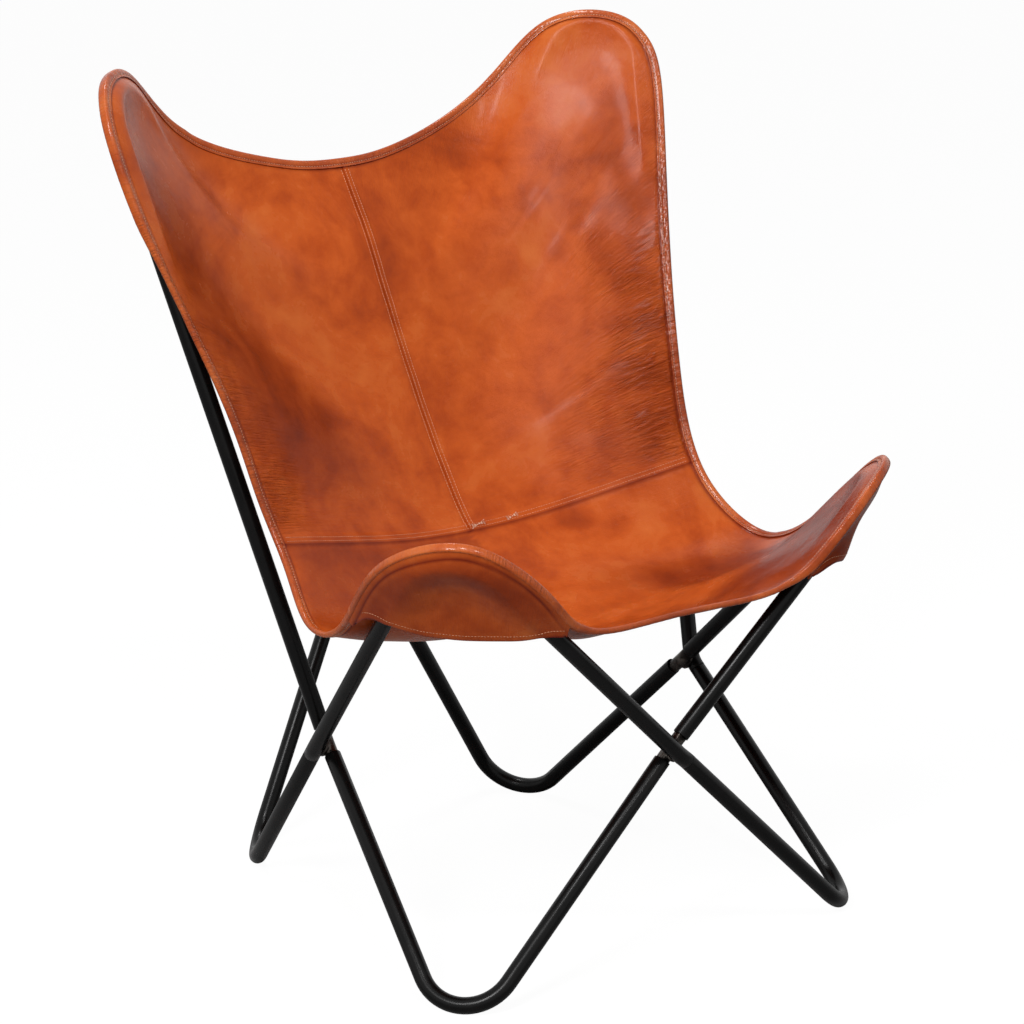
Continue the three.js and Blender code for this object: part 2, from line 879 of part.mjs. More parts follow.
function shortenedEnd(surface, atStart) {
  const edge = atStart ? 0 : surface.length - 1;
  const next = atStart ? 1 : surface.length - 2;
  return surface.map((line, i) => line.map((place, j) => {
    if (i !== edge) {
      return place;
    }
    const away = surface[next][j].point.clone().sub(place.point).normalize();
    return { ...place, point: place.point.clone().addScaledVector(away, halfSeam) };
  }));
}

function openMiddle(surface) {
  return surface.map((line) => line.map((place) => {
    const { y, z } = place.point;
    return { ...place, point: vec(Math.max(place.point.x, halfSeam), y, z) };
  }));
}

function backPanel(side) {
  const surface = mainSheets[side].slice(0, seamStation + 1);
  return thickSheet(onSide(shortenedEnd(openMiddle(surface), false), side), false);
}

function seatHalf(side) {
  return shortenedEnd(mainSheets[side].slice(seamStation), true);
}

function seatPanel() {
  const right = seatHalf(1);
  const left = mirrorSurface(seatHalf(-1));
  const lastColumn = right[0].length - 1;
  left.forEach((line, i) => {
    line[lastColumn] = right[right.length - 1 - i][lastColumn];
  });
  return thickSheet([...right, ...left.slice(1)], true);
}

addNode('back_panel_left', backPanel(-1), cognacLeather);
addNode('back_panel_right', backPanel(1), cognacLeather);
addNode('seat_panel', seatPanel(), cognacLeather);

// A pocket lies behind its tip's tube, from the rim to its open mouth. At the rim its layer
// is square to the main sheet, and square to the tip's plane where the rim comes near that.

const pocketStations = {
  back: { first: backPocketStart, last: backPocketEnd },
  front: { first: frontPocketStart, last: frontPocketEnd },
};
const pocketCrestOffsets = [0.9, 0];
const pocketCrestLimits = [0.6, 0.9];
const pocketOpenShares = [0.33, 0.66, 1];

function behindTube(outside, slope) {
  return -pocketSlack - (outside > 0 ? drapedHeight(outside, slope) : clearHeight);
}

function pocketRow(frame, places, mouth) {
  const layer = leatherThickness + seatGap;
  const distance = inFrame(frame, places[0].point).height - layer / 2;
  const farness = THREE.MathUtils.clamp(distance / tubeDiameter, 0, 1);
  const facing = frame.normal.clone().lerp(places[0].normal, farness).normalize();
  const locals = places.map(({ point }) => {
    return inFrame(frame, point.clone().addScaledVector(facing, -layer));
  });
  const rimReach = Math.max(outsideTube(frame, locals[0]), clearHeight);
  const slope = slopeToRim(rimReach, -locals[0].height);
  const start = locals[locals.length - 1];
  const placeAt = (share) => ({
    out: THREE.MathUtils.lerp(start.out, mouth.out, share),
    across: THREE.MathUtils.lerp(start.across, mouth.across, share),
  });
  const shares = pocketCrestOffsets.map((offset, index) => {
    const limit = pocketCrestLimits[index];
    const found = shareAtOffset(placeAt, frame, offset * tubeRadius, limit);
    return Math.max(found, (index + 1) * leastColumnShare);
  });
  const crest = shares[shares.length - 1];
  pocketOpenShares.forEach((share) => shares.push(crest + (1 - crest) * share));
  const rimPart = locals.map((place) => {
    const height = Math.min(behindTube(outsideTube(frame, place), slope), place.height);
    return fromFrame(frame, { ...place, height });
  });
  const openPart = shares.map(placeAt).map((place) => {
    return fromFrame(frame, { ...place, height: behindTube(outsideTube(frame, place), slope) });
  });
  return [...rimPart, ...openPart];
}

function pocketSurface(end, side) {
  const frame = tipFrames[side][end];
  const { first, last } = pocketStations[end];
  const rimPlaces = mainSheets[side].slice(first, last + 1).map((line) => {
    return line.slice(0, rimColumns.length);
  });
  const mouthEnds = [rimPlaces[0], rimPlaces[rimPlaces.length - 1]].map((places) => {
    return inFrame(frame, places[places.length - 1].point);
  });
  return withNormals(rimPlaces.map((places, index) => {
    const share = index / (rimPlaces.length - 1);
    const mouth = {
      out: THREE.MathUtils.lerp(mouthEnds[0].out, mouthEnds[1].out, share)
        - pocketEndDepth - pocketBulge * Math.sin(Math.PI * share),
      across: THREE.MathUtils.lerp(mouthEnds[0].across, mouthEnds[1].across, share),
    };
    return pocketRow(frame, places, mouth);
  }));
}

const pockets = {
  '-1': { back: pocketSurface('back', -1), front: pocketSurface('front', -1) },
  1: { back: pocketSurface('back', 1), front: pocketSurface('front', 1) },
};

[-1, 1].forEach((side) => {
  const sideName = side > 0 ? 'right' : 'left';
  ['back', 'front'].forEach((end) => {
    const pocket = thickSheet(onSide(pockets[side][end], side), false);
    addNode(`${end}_pocket_${sideName}`, pocket, cognacLeather);
  });
});

// The bound border: a folded strip over the rim of the main sheet and of the pockets

function stripRow(rimLine, backLine, along) {
  const outward = rimLine[0].normal.clone().cross(along).normalize();
  const lineAt = (depth) => {
    const offset = leatherThickness / 2 + depth;
    const faces = rimLine.map(({ point, normal }) => point.clone().addScaledVector(normal, offset));
    const rears = backLine.map(({ point, normal }) => point.clone().addScaledVector(normal, -offset));
    faces[0].addScaledVector(outward, depth);
    rears[0].addScaledVector(outward, depth);
    return [...rears.reverse(), ...faces];
  };
  return { inner: lineAt(bindingGap), outer: lineAt(bindingGap + bindingThickness) };
}

function movedAlong(line, from, to, share) {
  return line.map(({ point, normal }, j) => {
    const shift = to[j].point.clone().sub(from[j].point);
    const turn = to[j].normal.clone().sub(from[j].normal);
    return {
      point: point.clone().addScaledVector(shift, share),
      normal: normal.clone().addScaledVector(turn, share),
    };
  });
}

// Just outside each end of a pocket the strip's rear steps from the pocket to the main sheet

function stripEnds(rims, index, neighbour, rear, along) {
  const spacing = rims[index][0].point.distanceTo(rims[neighbour][0].point);
  return [seatGap * 2, seatGap * 2 + leatherThickness * 2].map((distance, step) => {
    const share = distance / spacing;
    const rim = movedAlong(rims[index], rims[index], rims[neighbour], share);
    const back = step === 0 ? movedAlong(rear, rims[index], rims[neighbour], share) : rim;
    return stripRow(rim, back, along);
  });
}

function borderRows(side, from, to) {
  const rims = mainSheets[side].map((line) => line.slice(0, rimColumns.length));
  const rows = [];
  for (let index = from; index <= to; index += 1) {
    const previous = rims[Math.max(index - 1, 0)][0].point;
    const following = rims[Math.min(index + 1, rims.length - 1)][0].point;
    const along = following.clone().sub(previous).normalize();
    if (index === 0 || index === rims.length - 1) {
      along.set(1, 0, 0).multiplyScalar(index === 0 ? 1 : -1);
    }
    const end = Object.keys(pocketStations).find((key) => {
      return index >= pocketStations[key].first && index <= pocketStations[key].last;
    });
    if (end) {
      const { first, last } = pocketStations[end];
      const rear = pockets[side][end][index - first].slice(0, rimColumns.length);
      if (index === first) {
        rows.push(...stripEnds(rims, index, index - 1, rear, along).reverse());
      }
      rows.push(stripRow(rims[index], rear, along));
      if (index === last) {
        rows.push(...stripEnds(rims, index, index + 1, rear, along));
      }
    } else {
      rows.push(stripRow(rims[index], rims[index], along));
    }
  }
  return rows;
}

function mirroredStrip(rows) {
  const flip = (line) => line.map((point) => point.clone().multiply(vec(-1, 1, 1)));
  return rows.map(({ inner, outer }) => ({ inner: flip(inner), outer: flip(outer) })).reverse();
}

function shortenedStrip(rows, edge, next) {
  const shift = rows[next].inner[0].clone().sub(rows[edge].inner[0]).normalize();
  shift.multiplyScalar(halfSeam);
  ['inner', 'outer'].forEach((key) => {
    rows[edge][key].forEach((point) => point.add(shift));
  });
}

function strip(rows) {
  shortenedStrip(rows, 0, 1);
  shortenedStrip(rows, rows.length - 1, rows.length - 2);
  const outer = rows.map((row) => row.outer);
  const inner = rows.map((row) => row.inner);
  return closedSheet(outer, inner, { turn: rimColumns.length - 1 });
}

function backBorder() {
  const right = borderRows(1, 0, seamStation);
  const left = mirroredStrip(borderRows(-1, 0, seamStation));
  return strip([...left, ...right.slice(1)]);
}

function seatBorder() {
  const lastStation = rowList.length - 1;
  const right = borderRows(1, seamStation, lastStation);
  const left = mirroredStrip(borderRows(-1, seamStation, lastStation));
  return strip([...right, ...left.slice(1)]);
}

addNode('back_border', backBorder(), saddleLeather);
addNode('seat_border', seatBorder(), saddleLeather);

export default chair;
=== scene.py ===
import math
import bpy
import numpy as np
from mathutils import Matrix, Vector, noise


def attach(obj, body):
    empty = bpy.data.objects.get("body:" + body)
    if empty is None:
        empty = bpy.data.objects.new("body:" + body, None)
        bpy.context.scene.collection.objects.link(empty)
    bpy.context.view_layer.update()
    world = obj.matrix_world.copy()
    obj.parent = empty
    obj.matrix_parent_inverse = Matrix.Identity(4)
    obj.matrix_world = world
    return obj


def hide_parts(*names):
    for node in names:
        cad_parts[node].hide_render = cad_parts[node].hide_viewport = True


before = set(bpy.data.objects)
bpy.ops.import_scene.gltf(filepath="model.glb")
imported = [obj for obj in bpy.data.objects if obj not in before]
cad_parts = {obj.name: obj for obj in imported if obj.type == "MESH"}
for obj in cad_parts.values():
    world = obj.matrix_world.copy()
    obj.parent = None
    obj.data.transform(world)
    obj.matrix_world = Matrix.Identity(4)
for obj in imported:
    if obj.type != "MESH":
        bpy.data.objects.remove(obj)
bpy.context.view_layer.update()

# Butterfly sling chair: a sewn leather sling on two interlocked loops of black steel tube.
# The shape is worked out in millimetres, as in the part's own model, and meshed in metres.

mm = 0.001
print("frame loaded:", len(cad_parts), "nodes")

# Camera at the photograph's angle and framing

cameraView = {
    "place": (-2322.2, -3187.0, 1561.4),
    "azimuth": -36.229,
    "elevation": 15.031,
    "roll": -0.174,
    "lens": 131.58,
    "shift": (-0.00524, -0.05914),
    "sensor": 36,
    "reach": 50,
}


def addCamera(view):
    bpy.ops.object.select_all(action="DESELECT")
    bpy.ops.object.camera_add()
    camera = bpy.context.object
    camera.name = "photoCamera"
    turn = Matrix.Rotation(math.radians(view["azimuth"]), 4, "Z")
    tilt = Matrix.Rotation(math.radians(90 - view["elevation"]), 4, "X")
    roll = Matrix.Rotation(math.radians(view["roll"]), 4, "Z")
    place = Matrix.Translation(Vector(view["place"]) * mm)
    camera.matrix_world = place @ turn @ tilt @ roll
    camera.data.sensor_width = view["sensor"]
    camera.data.lens = view["lens"]
    camera.data.shift_x, camera.data.shift_y = view["shift"]
    camera.data.clip_end = view["reach"]
    bpy.context.scene.camera = camera


addCamera(cameraView)
bpy.context.scene.view_settings.view_transform = "Standard"

# Small helpers for materials and meshes


def linear(code):
    parts = [int(code[i:i + 2], 16) / 255 for i in (1, 3, 5)]
    made = [p / 12.92 if p <= 0.04045 else ((p + 0.055) / 1.055) ** 2.4 for p in parts]
    return (*made, 1.0)


def addNode(tree, kind, settings=None, links=None):
    node = tree.nodes.new("ShaderNode" + kind)
    for key, value in (settings or {}).items():
        if isinstance(key, str) and hasattr(node, key):
            setattr(node, key, value)
        else:
            node.inputs[key].default_value = value
    for key, socket in (links or {}).items():
        tree.links.new(socket, node.inputs[key])
    return node


def emptyTree(owner, output):
    owner.use_nodes = True
    tree = owner.node_tree
    tree.nodes.clear()
    return tree, addNode(tree, output).inputs["Surface"]


def newMaterial(name):
    material = bpy.data.materials.new(name)
    return material, *emptyTree(material, "OutputMaterial")


def addRamp(tree, factor, stops):
    node = addNode(tree, "ValToRGB", links={"Fac": factor})
    ramp = node.color_ramp
    while len(ramp.elements) < len(stops):
        ramp.elements.new(0.5)
    for element, (place, colour) in zip(ramp.elements, stops):
        element.position = place
        element.color = linear(colour)
    return node.outputs["Color"]


def objectPlace(tree):
    return addNode(tree, "TexCoord").outputs["Object"]


def addNoise(tree, place, scale, detail, roughness=0.5, distortion=0.0):
    settings = {"Scale": scale, "Detail": detail, "Roughness": roughness, "Distortion": distortion}
    return addNode(tree, "TexNoise", settings, {"Vector": place}).outputs["Fac"]


def addRange(tree, value, start, end, low, high):
    settings = {"From Min": start, "From Max": end, "To Min": low, "To Max": high}
    return addNode(tree, "MapRange", settings, {"Value": value}).outputs["Result"]


def addMath(tree, operation, *values, clamped=False):
    # Each value is a number or a socket
    node = addNode(tree, "Math", {"operation": operation, "use_clamp": clamped})
    for socket, value in zip(node.inputs, values):
        if isinstance(value, (int, float)):
            socket.default_value = value
        else:
            tree.links.new(value, socket)
    return node.outputs["Value"]


def addBump(tree, height, strength, distance, **normal):
    settings = {"Strength": strength, "Distance": distance}
    return addNode(tree, "Bump", settings, {"Height": height, **normal}).outputs["Normal"]


def addShader(tree, surface, settings, links):
    shader = addNode(tree, "BsdfPrincipled", settings, links)
    tree.links.new(shader.outputs["BSDF"], surface)


def makeActive(piece):
    bpy.ops.object.select_all(action="DESELECT")
    piece.select_set(True)
    bpy.context.view_layer.objects.active = piece


def mergeClose(distance):
    bpy.ops.object.mode_set(mode="EDIT")
    bpy.ops.mesh.select_all(action="SELECT")
    bpy.ops.mesh.remove_doubles(threshold=distance * mm)
    bpy.ops.object.mode_set(mode="OBJECT")


def finishPiece(piece, node, material):
    piece.data.materials.clear()
    piece.data.materials.append(material)
    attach(piece, "root")
    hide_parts(node)


# Frame geometry, as in the part's model

tubeSizes = {
    "radius": 9.0,
    "wall": 1.2,
    "bendRadius": 52.5,
    "crossingBendRadius": 34.0,
    "seatGap": 0.3,
    "spigotRadius": 7.5,
    "seamDrop": 14.0,
    "upperSetback": 20.0,
    "lowerSetback": 12.5,
    "floorFlat": 0.5,
    "sides": 40,
    "bendStep": 5,
    "endRound": 0.35,
    "sharpFrom": 60,
    "smoothBelow": 40,
    "spigotSmoothBelow": 42,
    "mergeWithin": 0.01,
    "shortest": 0.01,
    "cutHeight": 0.02,
}
crossingPlaces = {
    "left": (-250, -2.1, 215.3),
    "right": (250, -2.1, 215.3),
    "front": (0, -293.7, 239),
    "back": (0, 296.4, 332.8),
}
crossingOutward = {"left": (-1, 0, 0), "right": (1, 0, 0), "front": (0, -1, 0), "back": (0, 1, 0)}
cornerPlaces = {
    "backTip": (379.5, 298.6, 1072.5),
    "frontTip": (311, -309.8, 545.5),
    "frontFoot": (280, -289.8, 0),
    "backFoot": (190.5, 255, 0),
}
# The tips of the inner loop, at the left back and the right front, stand lower
innerTipDrops = {"backTip": 8, "frontTip": 5}
loopPlans = {
    "inner": ["backTip-", "left", "frontFoot-", "front", "frontTip+", "right", "backFoot+", "back"],
    "outer": ["frontTip-", "front", "frontFoot+", "right", "backTip+", "back", "backFoot-", "left"],
}


def unit(vector):
    return vector / np.linalg.norm(vector)


def turned(vector, axis, angle):
    cosine, sine = math.cos(angle), math.sin(angle)
    return vector * cosine + np.cross(axis, vector) * sine + axis * (axis @ vector) * (1 - cosine)


def bendAt(before, corner, after, radius):
    inward, outward = unit(before - corner), unit(after - corner)
    half = math.acos(float(np.clip(inward @ outward, -1, 1))) / 2
    bisector = unit(inward + outward)
    return {
        "centre": corner + bisector * radius / math.sin(half),
        "bisector": bisector,
        "axis": unit(np.cross(outward, inward)),
        "half": half,
        "start": corner + inward * radius / math.tan(half),
        "end": corner + outward * radius / math.tan(half),
        "turn": math.pi - 2 * half,
        "radius": radius,
        "heading": -inward,
    }


def loopBends(which):
    plan = loopPlans[which]
    shift = tubeSizes["radius"] + tubeSizes["spigotRadius"] + tubeSizes["seatGap"]
    shift *= (0.5 if which == "outer" else -0.5)
    points = []
    for name in plan:
        if name in crossingPlaces:
            point = np.array(crossingPlaces[name], float)
            points.append(point + shift * np.array(crossingOutward[name], float))
        else:
            side = 1 if name.endswith("+") else -1
            point = np.array(cornerPlaces[name[:-1]], float) * (side, 1, 1)
            if which == "inner" and "Tip" in name:
                point[2] -= innerTipDrops[name[:-1]]
            points.append(point)
    bends = {}
    for i, name in enumerate(plan):
        before, after = points[i - 1], points[(i + 1) % len(points)]
        if "Foot" in name:
            wanted = tubeSizes["radius"] - tubeSizes["floorFlat"]
            for _ in range(40):
                bend = bendAt(before, points[i], after, tubeSizes["bendRadius"])
                lowest = bend["centre"][2] - bend["radius"] * math.sqrt(1 - bend["axis"][2] ** 2)
                points[i] = points[i] + np.array((0, 0, wanted - lowest))
        small = name in crossingPlaces
        radius = tubeSizes["crossingBendRadius" if small else "bendRadius"]
        bends[name] = bendAt(before, points[i], after, radius)
    return bends


loops = {which: loopBends(which) for which in loopPlans}

# Materials of the frame


def powderCoat():
    # Polyester powder coat, sprayed and baked on steel tube: near black, semi-gloss, faint orange peel
    material, tree, surface = newMaterial("blackPowderCoat")
    place = objectPlace(tree)
    peel = addBump(tree, addNoise(tree, place, 420, 2), 0.12, 0.0003)
    wear = addNoise(tree, place, 22, 5, 0.65)
    colour = addRamp(tree, wear, [(0.3, "#060606"), (0.62, "#0B0A0A"), (0.8, "#131110")])
    rough = addRange(tree, wear, 0.3, 0.75, 0.22, 0.34)
    addShader(tree, surface, {"IOR": 1.5, "Specular IOR Level": 0.14},
              {"Base Color": colour, "Roughness": rough, "Normal": peel})
    return material


def bareSteel():
    # Turned mild steel rod, left bare: fine turning rings, blackened by the heat of the weld
    material, tree, surface = newMaterial("turnedSteel")
    place = objectPlace(tree)
    rings = addNode(tree, "TexWave",
                    {"bands_direction": "Z", "Scale": 300, "Distortion": 1.5, "Detail": 2}, {"Vector": place})
    tint = addNoise(tree, place, 60, 3)
    colour = addRamp(tree, tint, [(0.34, "#161413"), (0.52, "#2B2725"), (0.66, "#5E5853")])
    addShader(tree, surface, {"Metallic": 1.0, "Roughness": 0.33},
              {"Base Color": colour, "Normal": addBump(tree, rings.outputs["Fac"], 0.25, 0.0002)})
    return material


coat = powderCoat()
steel = bareSteel()

# Bent tubes: a ring is extruded along each leg and spun round each bend


def ringAt(point, heading, name):
    turn = Vector((0, 0, 1)).rotation_difference(Vector(heading))
    bpy.ops.object.select_all(action="DESELECT")
    bpy.ops.mesh.primitive_circle_add(vertices=tubeSizes["sides"], radius=tubeSizes["radius"] * mm,
                                      location=Vector(point) * mm, rotation=turn.to_euler())
    piece = bpy.context.object
    piece.name = name
    bpy.ops.object.transform_apply(location=True, rotation=True, scale=True)
    bpy.ops.object.mode_set(mode="EDIT")
    bpy.ops.mesh.select_all(action="SELECT")
    return piece


def extrudeLeg(start, end):
    if np.linalg.norm(end - start) > tubeSizes["shortest"]:
        bpy.ops.mesh.extrude_region_move(TRANSFORM_OT_translate={"value": Vector(end - start) * mm})


def spinBend(bend, angle):
    if angle * bend["radius"] > tubeSizes["shortest"]:
        steps = max(1, round(math.degrees(angle) / tubeSizes["bendStep"]))
        bpy.ops.mesh.spin(steps=steps, angle=-angle, center=Vector(bend["centre"]) * mm,
                          axis=Vector(bend["axis"]))


def tubePart(bend, distance):
    # A place on a small bend or its legs, at a distance past the bend's middle
    reach = bend["radius"] * bend["turn"] / 2
    if abs(distance) <= reach:
        angle = bend["turn"] / 2 + distance / bend["radius"]
        arm = turned(bend["start"] - bend["centre"], bend["axis"], angle)
        return bend["centre"] + arm, turned(bend["heading"], bend["axis"], angle), angle
    if distance > 0:
        heading = turned(bend["heading"], bend["axis"], bend["turn"])
        return bend["end"] + heading * (distance - reach), heading, None
    return bend["start"] + bend["heading"] * (distance + reach), bend["heading"], None


def bentTube(name, node, before, middle, after, fromDistance, toDistance):
    point, heading, angle = tubePart(before, fromDistance)
    piece = ringAt(point, heading, name)
    if fromDistance <= -before["radius"] * before["turn"] / 2:
        extrudeLeg(point, before["start"])
        angle = 0.0
    if angle is not None:
        spinBend(before, before["turn"] - angle)
        point = before["end"]
    extrudeLeg(point, middle["start"])
    spinBend(middle, middle["turn"])
    point, heading, angle = tubePart(after, toDistance)
    if angle is None and toDistance < 0:
        extrudeLeg(middle["end"], point)
    else:
        extrudeLeg(middle["end"], after["start"])
        spinBend(after, after["turn"] if angle is None else angle)
        if angle is None:
            extrudeLeg(after["end"], point)
    bpy.ops.mesh.select_all(action="SELECT")
    bpy.ops.mesh.remove_doubles(threshold=tubeSizes["mergeWithin"] * mm)
    bpy.ops.mesh.normals_make_consistent(inside=False)
    bpy.ops.object.mode_set(mode="OBJECT")
    wall = piece.modifiers.new("wall", "SOLIDIFY")
    wall.thickness = tubeSizes["wall"] * mm
    wall.offset = -1
    bpy.ops.object.modifier_apply(modifier="wall")
    if "foot" in node:
        bpy.ops.object.mode_set(mode="EDIT")
        bpy.ops.mesh.select_all(action="SELECT")
        bpy.ops.mesh.bisect(plane_co=(0, 0, tubeSizes["cutHeight"] * mm), plane_no=(0, 0, 1), use_fill=True,
                            clear_inner=True)
        bpy.ops.object.mode_set(mode="OBJECT")
    edge = piece.modifiers.new("endRound", "BEVEL")
    edge.width = tubeSizes["endRound"] * mm
    edge.segments = 2
    edge.limit_method = "ANGLE"
    edge.angle_limit = math.radians(tubeSizes["sharpFrom"])
    bpy.ops.object.modifier_apply(modifier="endRound")
    bpy.ops.object.shade_smooth_by_angle(angle=math.radians(tubeSizes["smoothBelow"]))
    finishPiece(piece, node, coat)


def nodeNameOf(corner):
    end = "back" if corner.startswith("back") else "front"
    side = "right" if corner.endswith("+") else "left"
    kind = "tip" if "Tip" in corner else "foot"
    return f"{end}_{side}_{kind}_tube"


def pieceNameOf(node):
    words = node.split("_")
    return words[0] + "".join(word.capitalize() for word in words[1:])


def addTubes(which):
    plan, bends = loopPlans[which], loops[which]
    for i, name in enumerate(plan):
        if name in crossingPlaces:
            continue
        before, after = bends[plan[i - 1]], bends[plan[(i + 1) % len(plan)]]
        tip = "Tip" in name
        if which == "outer":
            past = tubeSizes["seamDrop"] if tip else -tubeSizes["seamDrop"] - tubeSizes["seatGap"]
        else:
            past = -(tubeSizes["upperSetback"] if tip else tubeSizes["lowerSetback"])
        node = nodeNameOf(name)
        bentTube(pieceNameOf(node), node, before, bends[name], after, -past, past)


addTubes("inner")
addTubes("outer")
print("tubes done")

# Cross spigots with their weld collars: a merged and smoothed copy of each turned rod

for crossing in crossingPlaces:
    node = f"{crossing}_cross_spigot"
    makeActive(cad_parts[node])
    bpy.ops.object.duplicate(linked=False)
    piece = bpy.context.object
    piece.name = pieceNameOf(node)
    for key in [key for key in piece.keys() if key.startswith("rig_")]:
        del piece[key]
    mergeClose(tubeSizes["mergeWithin"])
    bpy.ops.object.shade_smooth_by_angle(angle=math.radians(tubeSizes["spigotSmoothBelow"]))
    finishPiece(piece, node, steel)
    # The in-line spigot is hidden in its tubes, and only gets its material
    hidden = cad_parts[f"{crossing}_inline_spigot"].data.materials
    hidden.clear()
    hidden.append(steel)
print("spigots done")

# The sling, worked out as in the part's model but much finer. All of it is on the right half
# and mirrored for the left, where the tips are a little lower.

slingSizes = {
    "leather": 2.2,
    "layerGap": 0.2,
    "tubeClearance": 10.5,
    "liftSoftness": 5.0,
    "relaxRounds": 60,
    "bridgeReach": (13, 26),
    "liftedFrom": (-30, -12),
    "seamCut": 0.03,
    "seamRounded": 0.7,
    "mouthRounded": 0.6,
    "mergeWithin": 0.005,
    "smoothBelow": 52,
    "backRim": 76.0,
    "frontRim": 88.0,
    "rimFrameHeight": 1.45,
    "rimHandle": 0.36,
    "squareLean": 0.5,
    "middleHandle": 0.38,
    "innerSlope": 14.0,
    "edgeInset": 1.4,
    "crossSeamRow": 11.651,
    "lastRow": 21,
    "pocketRows": {"back": (2.499, 7.8), "front": (14.65, 19.5)},
    "pocketSag": {("back", -1): 1.0, ("back", 1): 4.0, ("front", -1): 4.0, ("front", 1): 14.0},
    "pocketSagSkew": {("back", -1): 1.0, ("back", 1): 1.0, ("front", -1): 1.0, ("front", 1): 1.7},
    "pocketHollow": {("back", -1): 3.0, ("back", 1): 3.0, ("front", -1): 7.0, ("front", 1): 3.0},
    "dropRows": {"backTip": (1.26, 3.15, 7.0, 9.5), "frontTip": (13.8, 15.0, 17.3, 19.8)},
}
layerStep = slingSizes["leather"] + slingSizes["layerGap"]
# The rim: shares of the space between the tips, and round each tip an angle and a share of its rim's radius
topEdgeShares = [[0, 1.117, 0.796], [0.193, 1.13, 0.797], [0.467, 1.132, 0.86]]
backTipShares = [[103, 1.49], [49, 1.17], [-18, 0.98], [-51, 1], [-79, 1.12], [-133, 1.87]]
sideShares = [[1.014, 0.715, 0.44], [0.956, 0.644, 0.238], [0.933, 0.6, 0.072], [0.908, 0.516, -0.078],
              [0.98, 0.402, -0.196], [0.988, 0.275, -0.184]]
frontTipShares = [[101, 1.32], [55, 1.06], [-2, 1], [-38, 0.99], [-93, 1.18], [-125, 1.6]]
frontEdgeShares = [[0, -0.097, -0.118]]
# The chair's middle line, from the top of the back to the front edge
footShares = [[1.04, 0.645], [1.025, 0.613], [1.002, 0.562], [0.975, 0.499], [0.948, 0.438], [0.925, 0.384],
              [0.902, 0.335], [0.876, 0.282], [0.839, 0.204], [0.795, 0.113], [0.745, 0.018], [0.688, -0.079],
              [0.615, -0.172], [0.531, -0.246], [0.451, -0.283], [0.38, -0.298], [0.317, -0.299],
              [0.259, -0.292], [0.206, -0.278], [0.16, -0.26], [0.125, -0.242], [0.102, -0.23]]


def toSide(vectors, side):
    return vectors * np.array((side, 1, 1))


def tipFrame(which, name, side):
    bend = loops[which][name]
    lengthwise, outward = toSide(bend["axis"], side), toSide(-bend["bisector"], side)
    normal = lengthwise if lengthwise[0] < 0 else -lengthwise
    return {"centre": toSide(bend["centre"], side), "outward": outward, "across": np.cross(normal, outward),
            "normal": normal, "half": bend["half"]}


tipFrames = {
    -1: {"back": tipFrame("inner", "backTip-", -1), "front": tipFrame("outer", "frontTip-", -1)},
    1: {"back": tipFrame("outer", "backTip+", 1), "front": tipFrame("inner", "frontTip+", 1)},
}
backFrame, frontFrame = tipFrames[1]["back"], tipFrames[-1]["front"]


def betweenTips(row):
    span = backFrame["centre"] - frontFrame["centre"]
    return np.array((row[0] * backFrame["centre"][0], frontFrame["centre"][1] + row[1] * span[1],
                     frontFrame["centre"][2] + row[2] * span[2]))


def roundTip(tip, rimRadius, row):
    angle, radius = math.radians(row[0]), rimRadius * row[1]
    return (tip["centre"] + tip["outward"] * radius * math.cos(angle)
            + tip["across"] * radius * math.sin(angle) + tip["normal"] * slingSizes["rimFrameHeight"])


rimRows = np.array([betweenTips(row) for row in topEdgeShares]
                   + [roundTip(backFrame, slingSizes["backRim"], row) for row in backTipShares]
                   + [betweenTips(row) for row in sideShares]
                   + [roundTip(frontFrame, slingSizes["frontRim"], row) for row in frontTipShares]
                   + [betweenTips(row) for row in frontEdgeShares])
footRows = np.array([betweenTips((0, *row)) for row in footShares])
# Which way the leather faces at some rows of the rim
facingGuide = [(0, (0, -0.85, 0.53)), (3, backFrame["normal"]), (7.5, backFrame["normal"]),
               (10, (-0.3, -0.85, 0.36)), (11.7, (-0.28, -0.6, 0.75)), (13.5, (-0.33, 0, 0.94)),
               (15.5, frontFrame["normal"]), (18.2, frontFrame["normal"]), (21, (0, 0.33, 0.94))]


def smoothStep(low, high, value):
    u = np.clip((value - low) / (high - low), 0, 1)
    return u * u * (3 - 2 * u)


def within(low, full, fading, gone, value):
    return smoothStep(low, full, value) * (1 - smoothStep(fading, gone, value))


def units(vectors):
    return vectors / np.maximum(np.linalg.norm(vectors, axis=-1, keepdims=True), 1e-9)


def splinePoints(rows, at):
    padded = np.vstack([toSide(rows[1:3][::-1], -1), rows, toSide(rows[-3:-1][::-1], -1)])
    start = np.minimum(np.floor(at).astype(int), slingSizes["lastRow"] - 1)
    u = (at - start)[:, None]
    weights = [(1 - u) ** 3, 3 * u ** 3 - 6 * u ** 2 + 4, -3 * u ** 3 + 3 * u ** 2 + 3 * u + 1, u ** 3]
    return sum(w * padded[start + 1 + k] for k, w in enumerate(weights)) / 6


def facingsAt(at):
    rows = np.array([guide[0] for guide in facingGuide], float)
    facings = np.array([guide[1] for guide in facingGuide], float)
    index = np.clip(np.searchsorted(rows, at), 1, len(rows) - 1)
    u = smoothStep(rows[index - 1], rows[index], at)[:, None]
    return units(facings[index - 1] * (1 - u) + facings[index] * u)


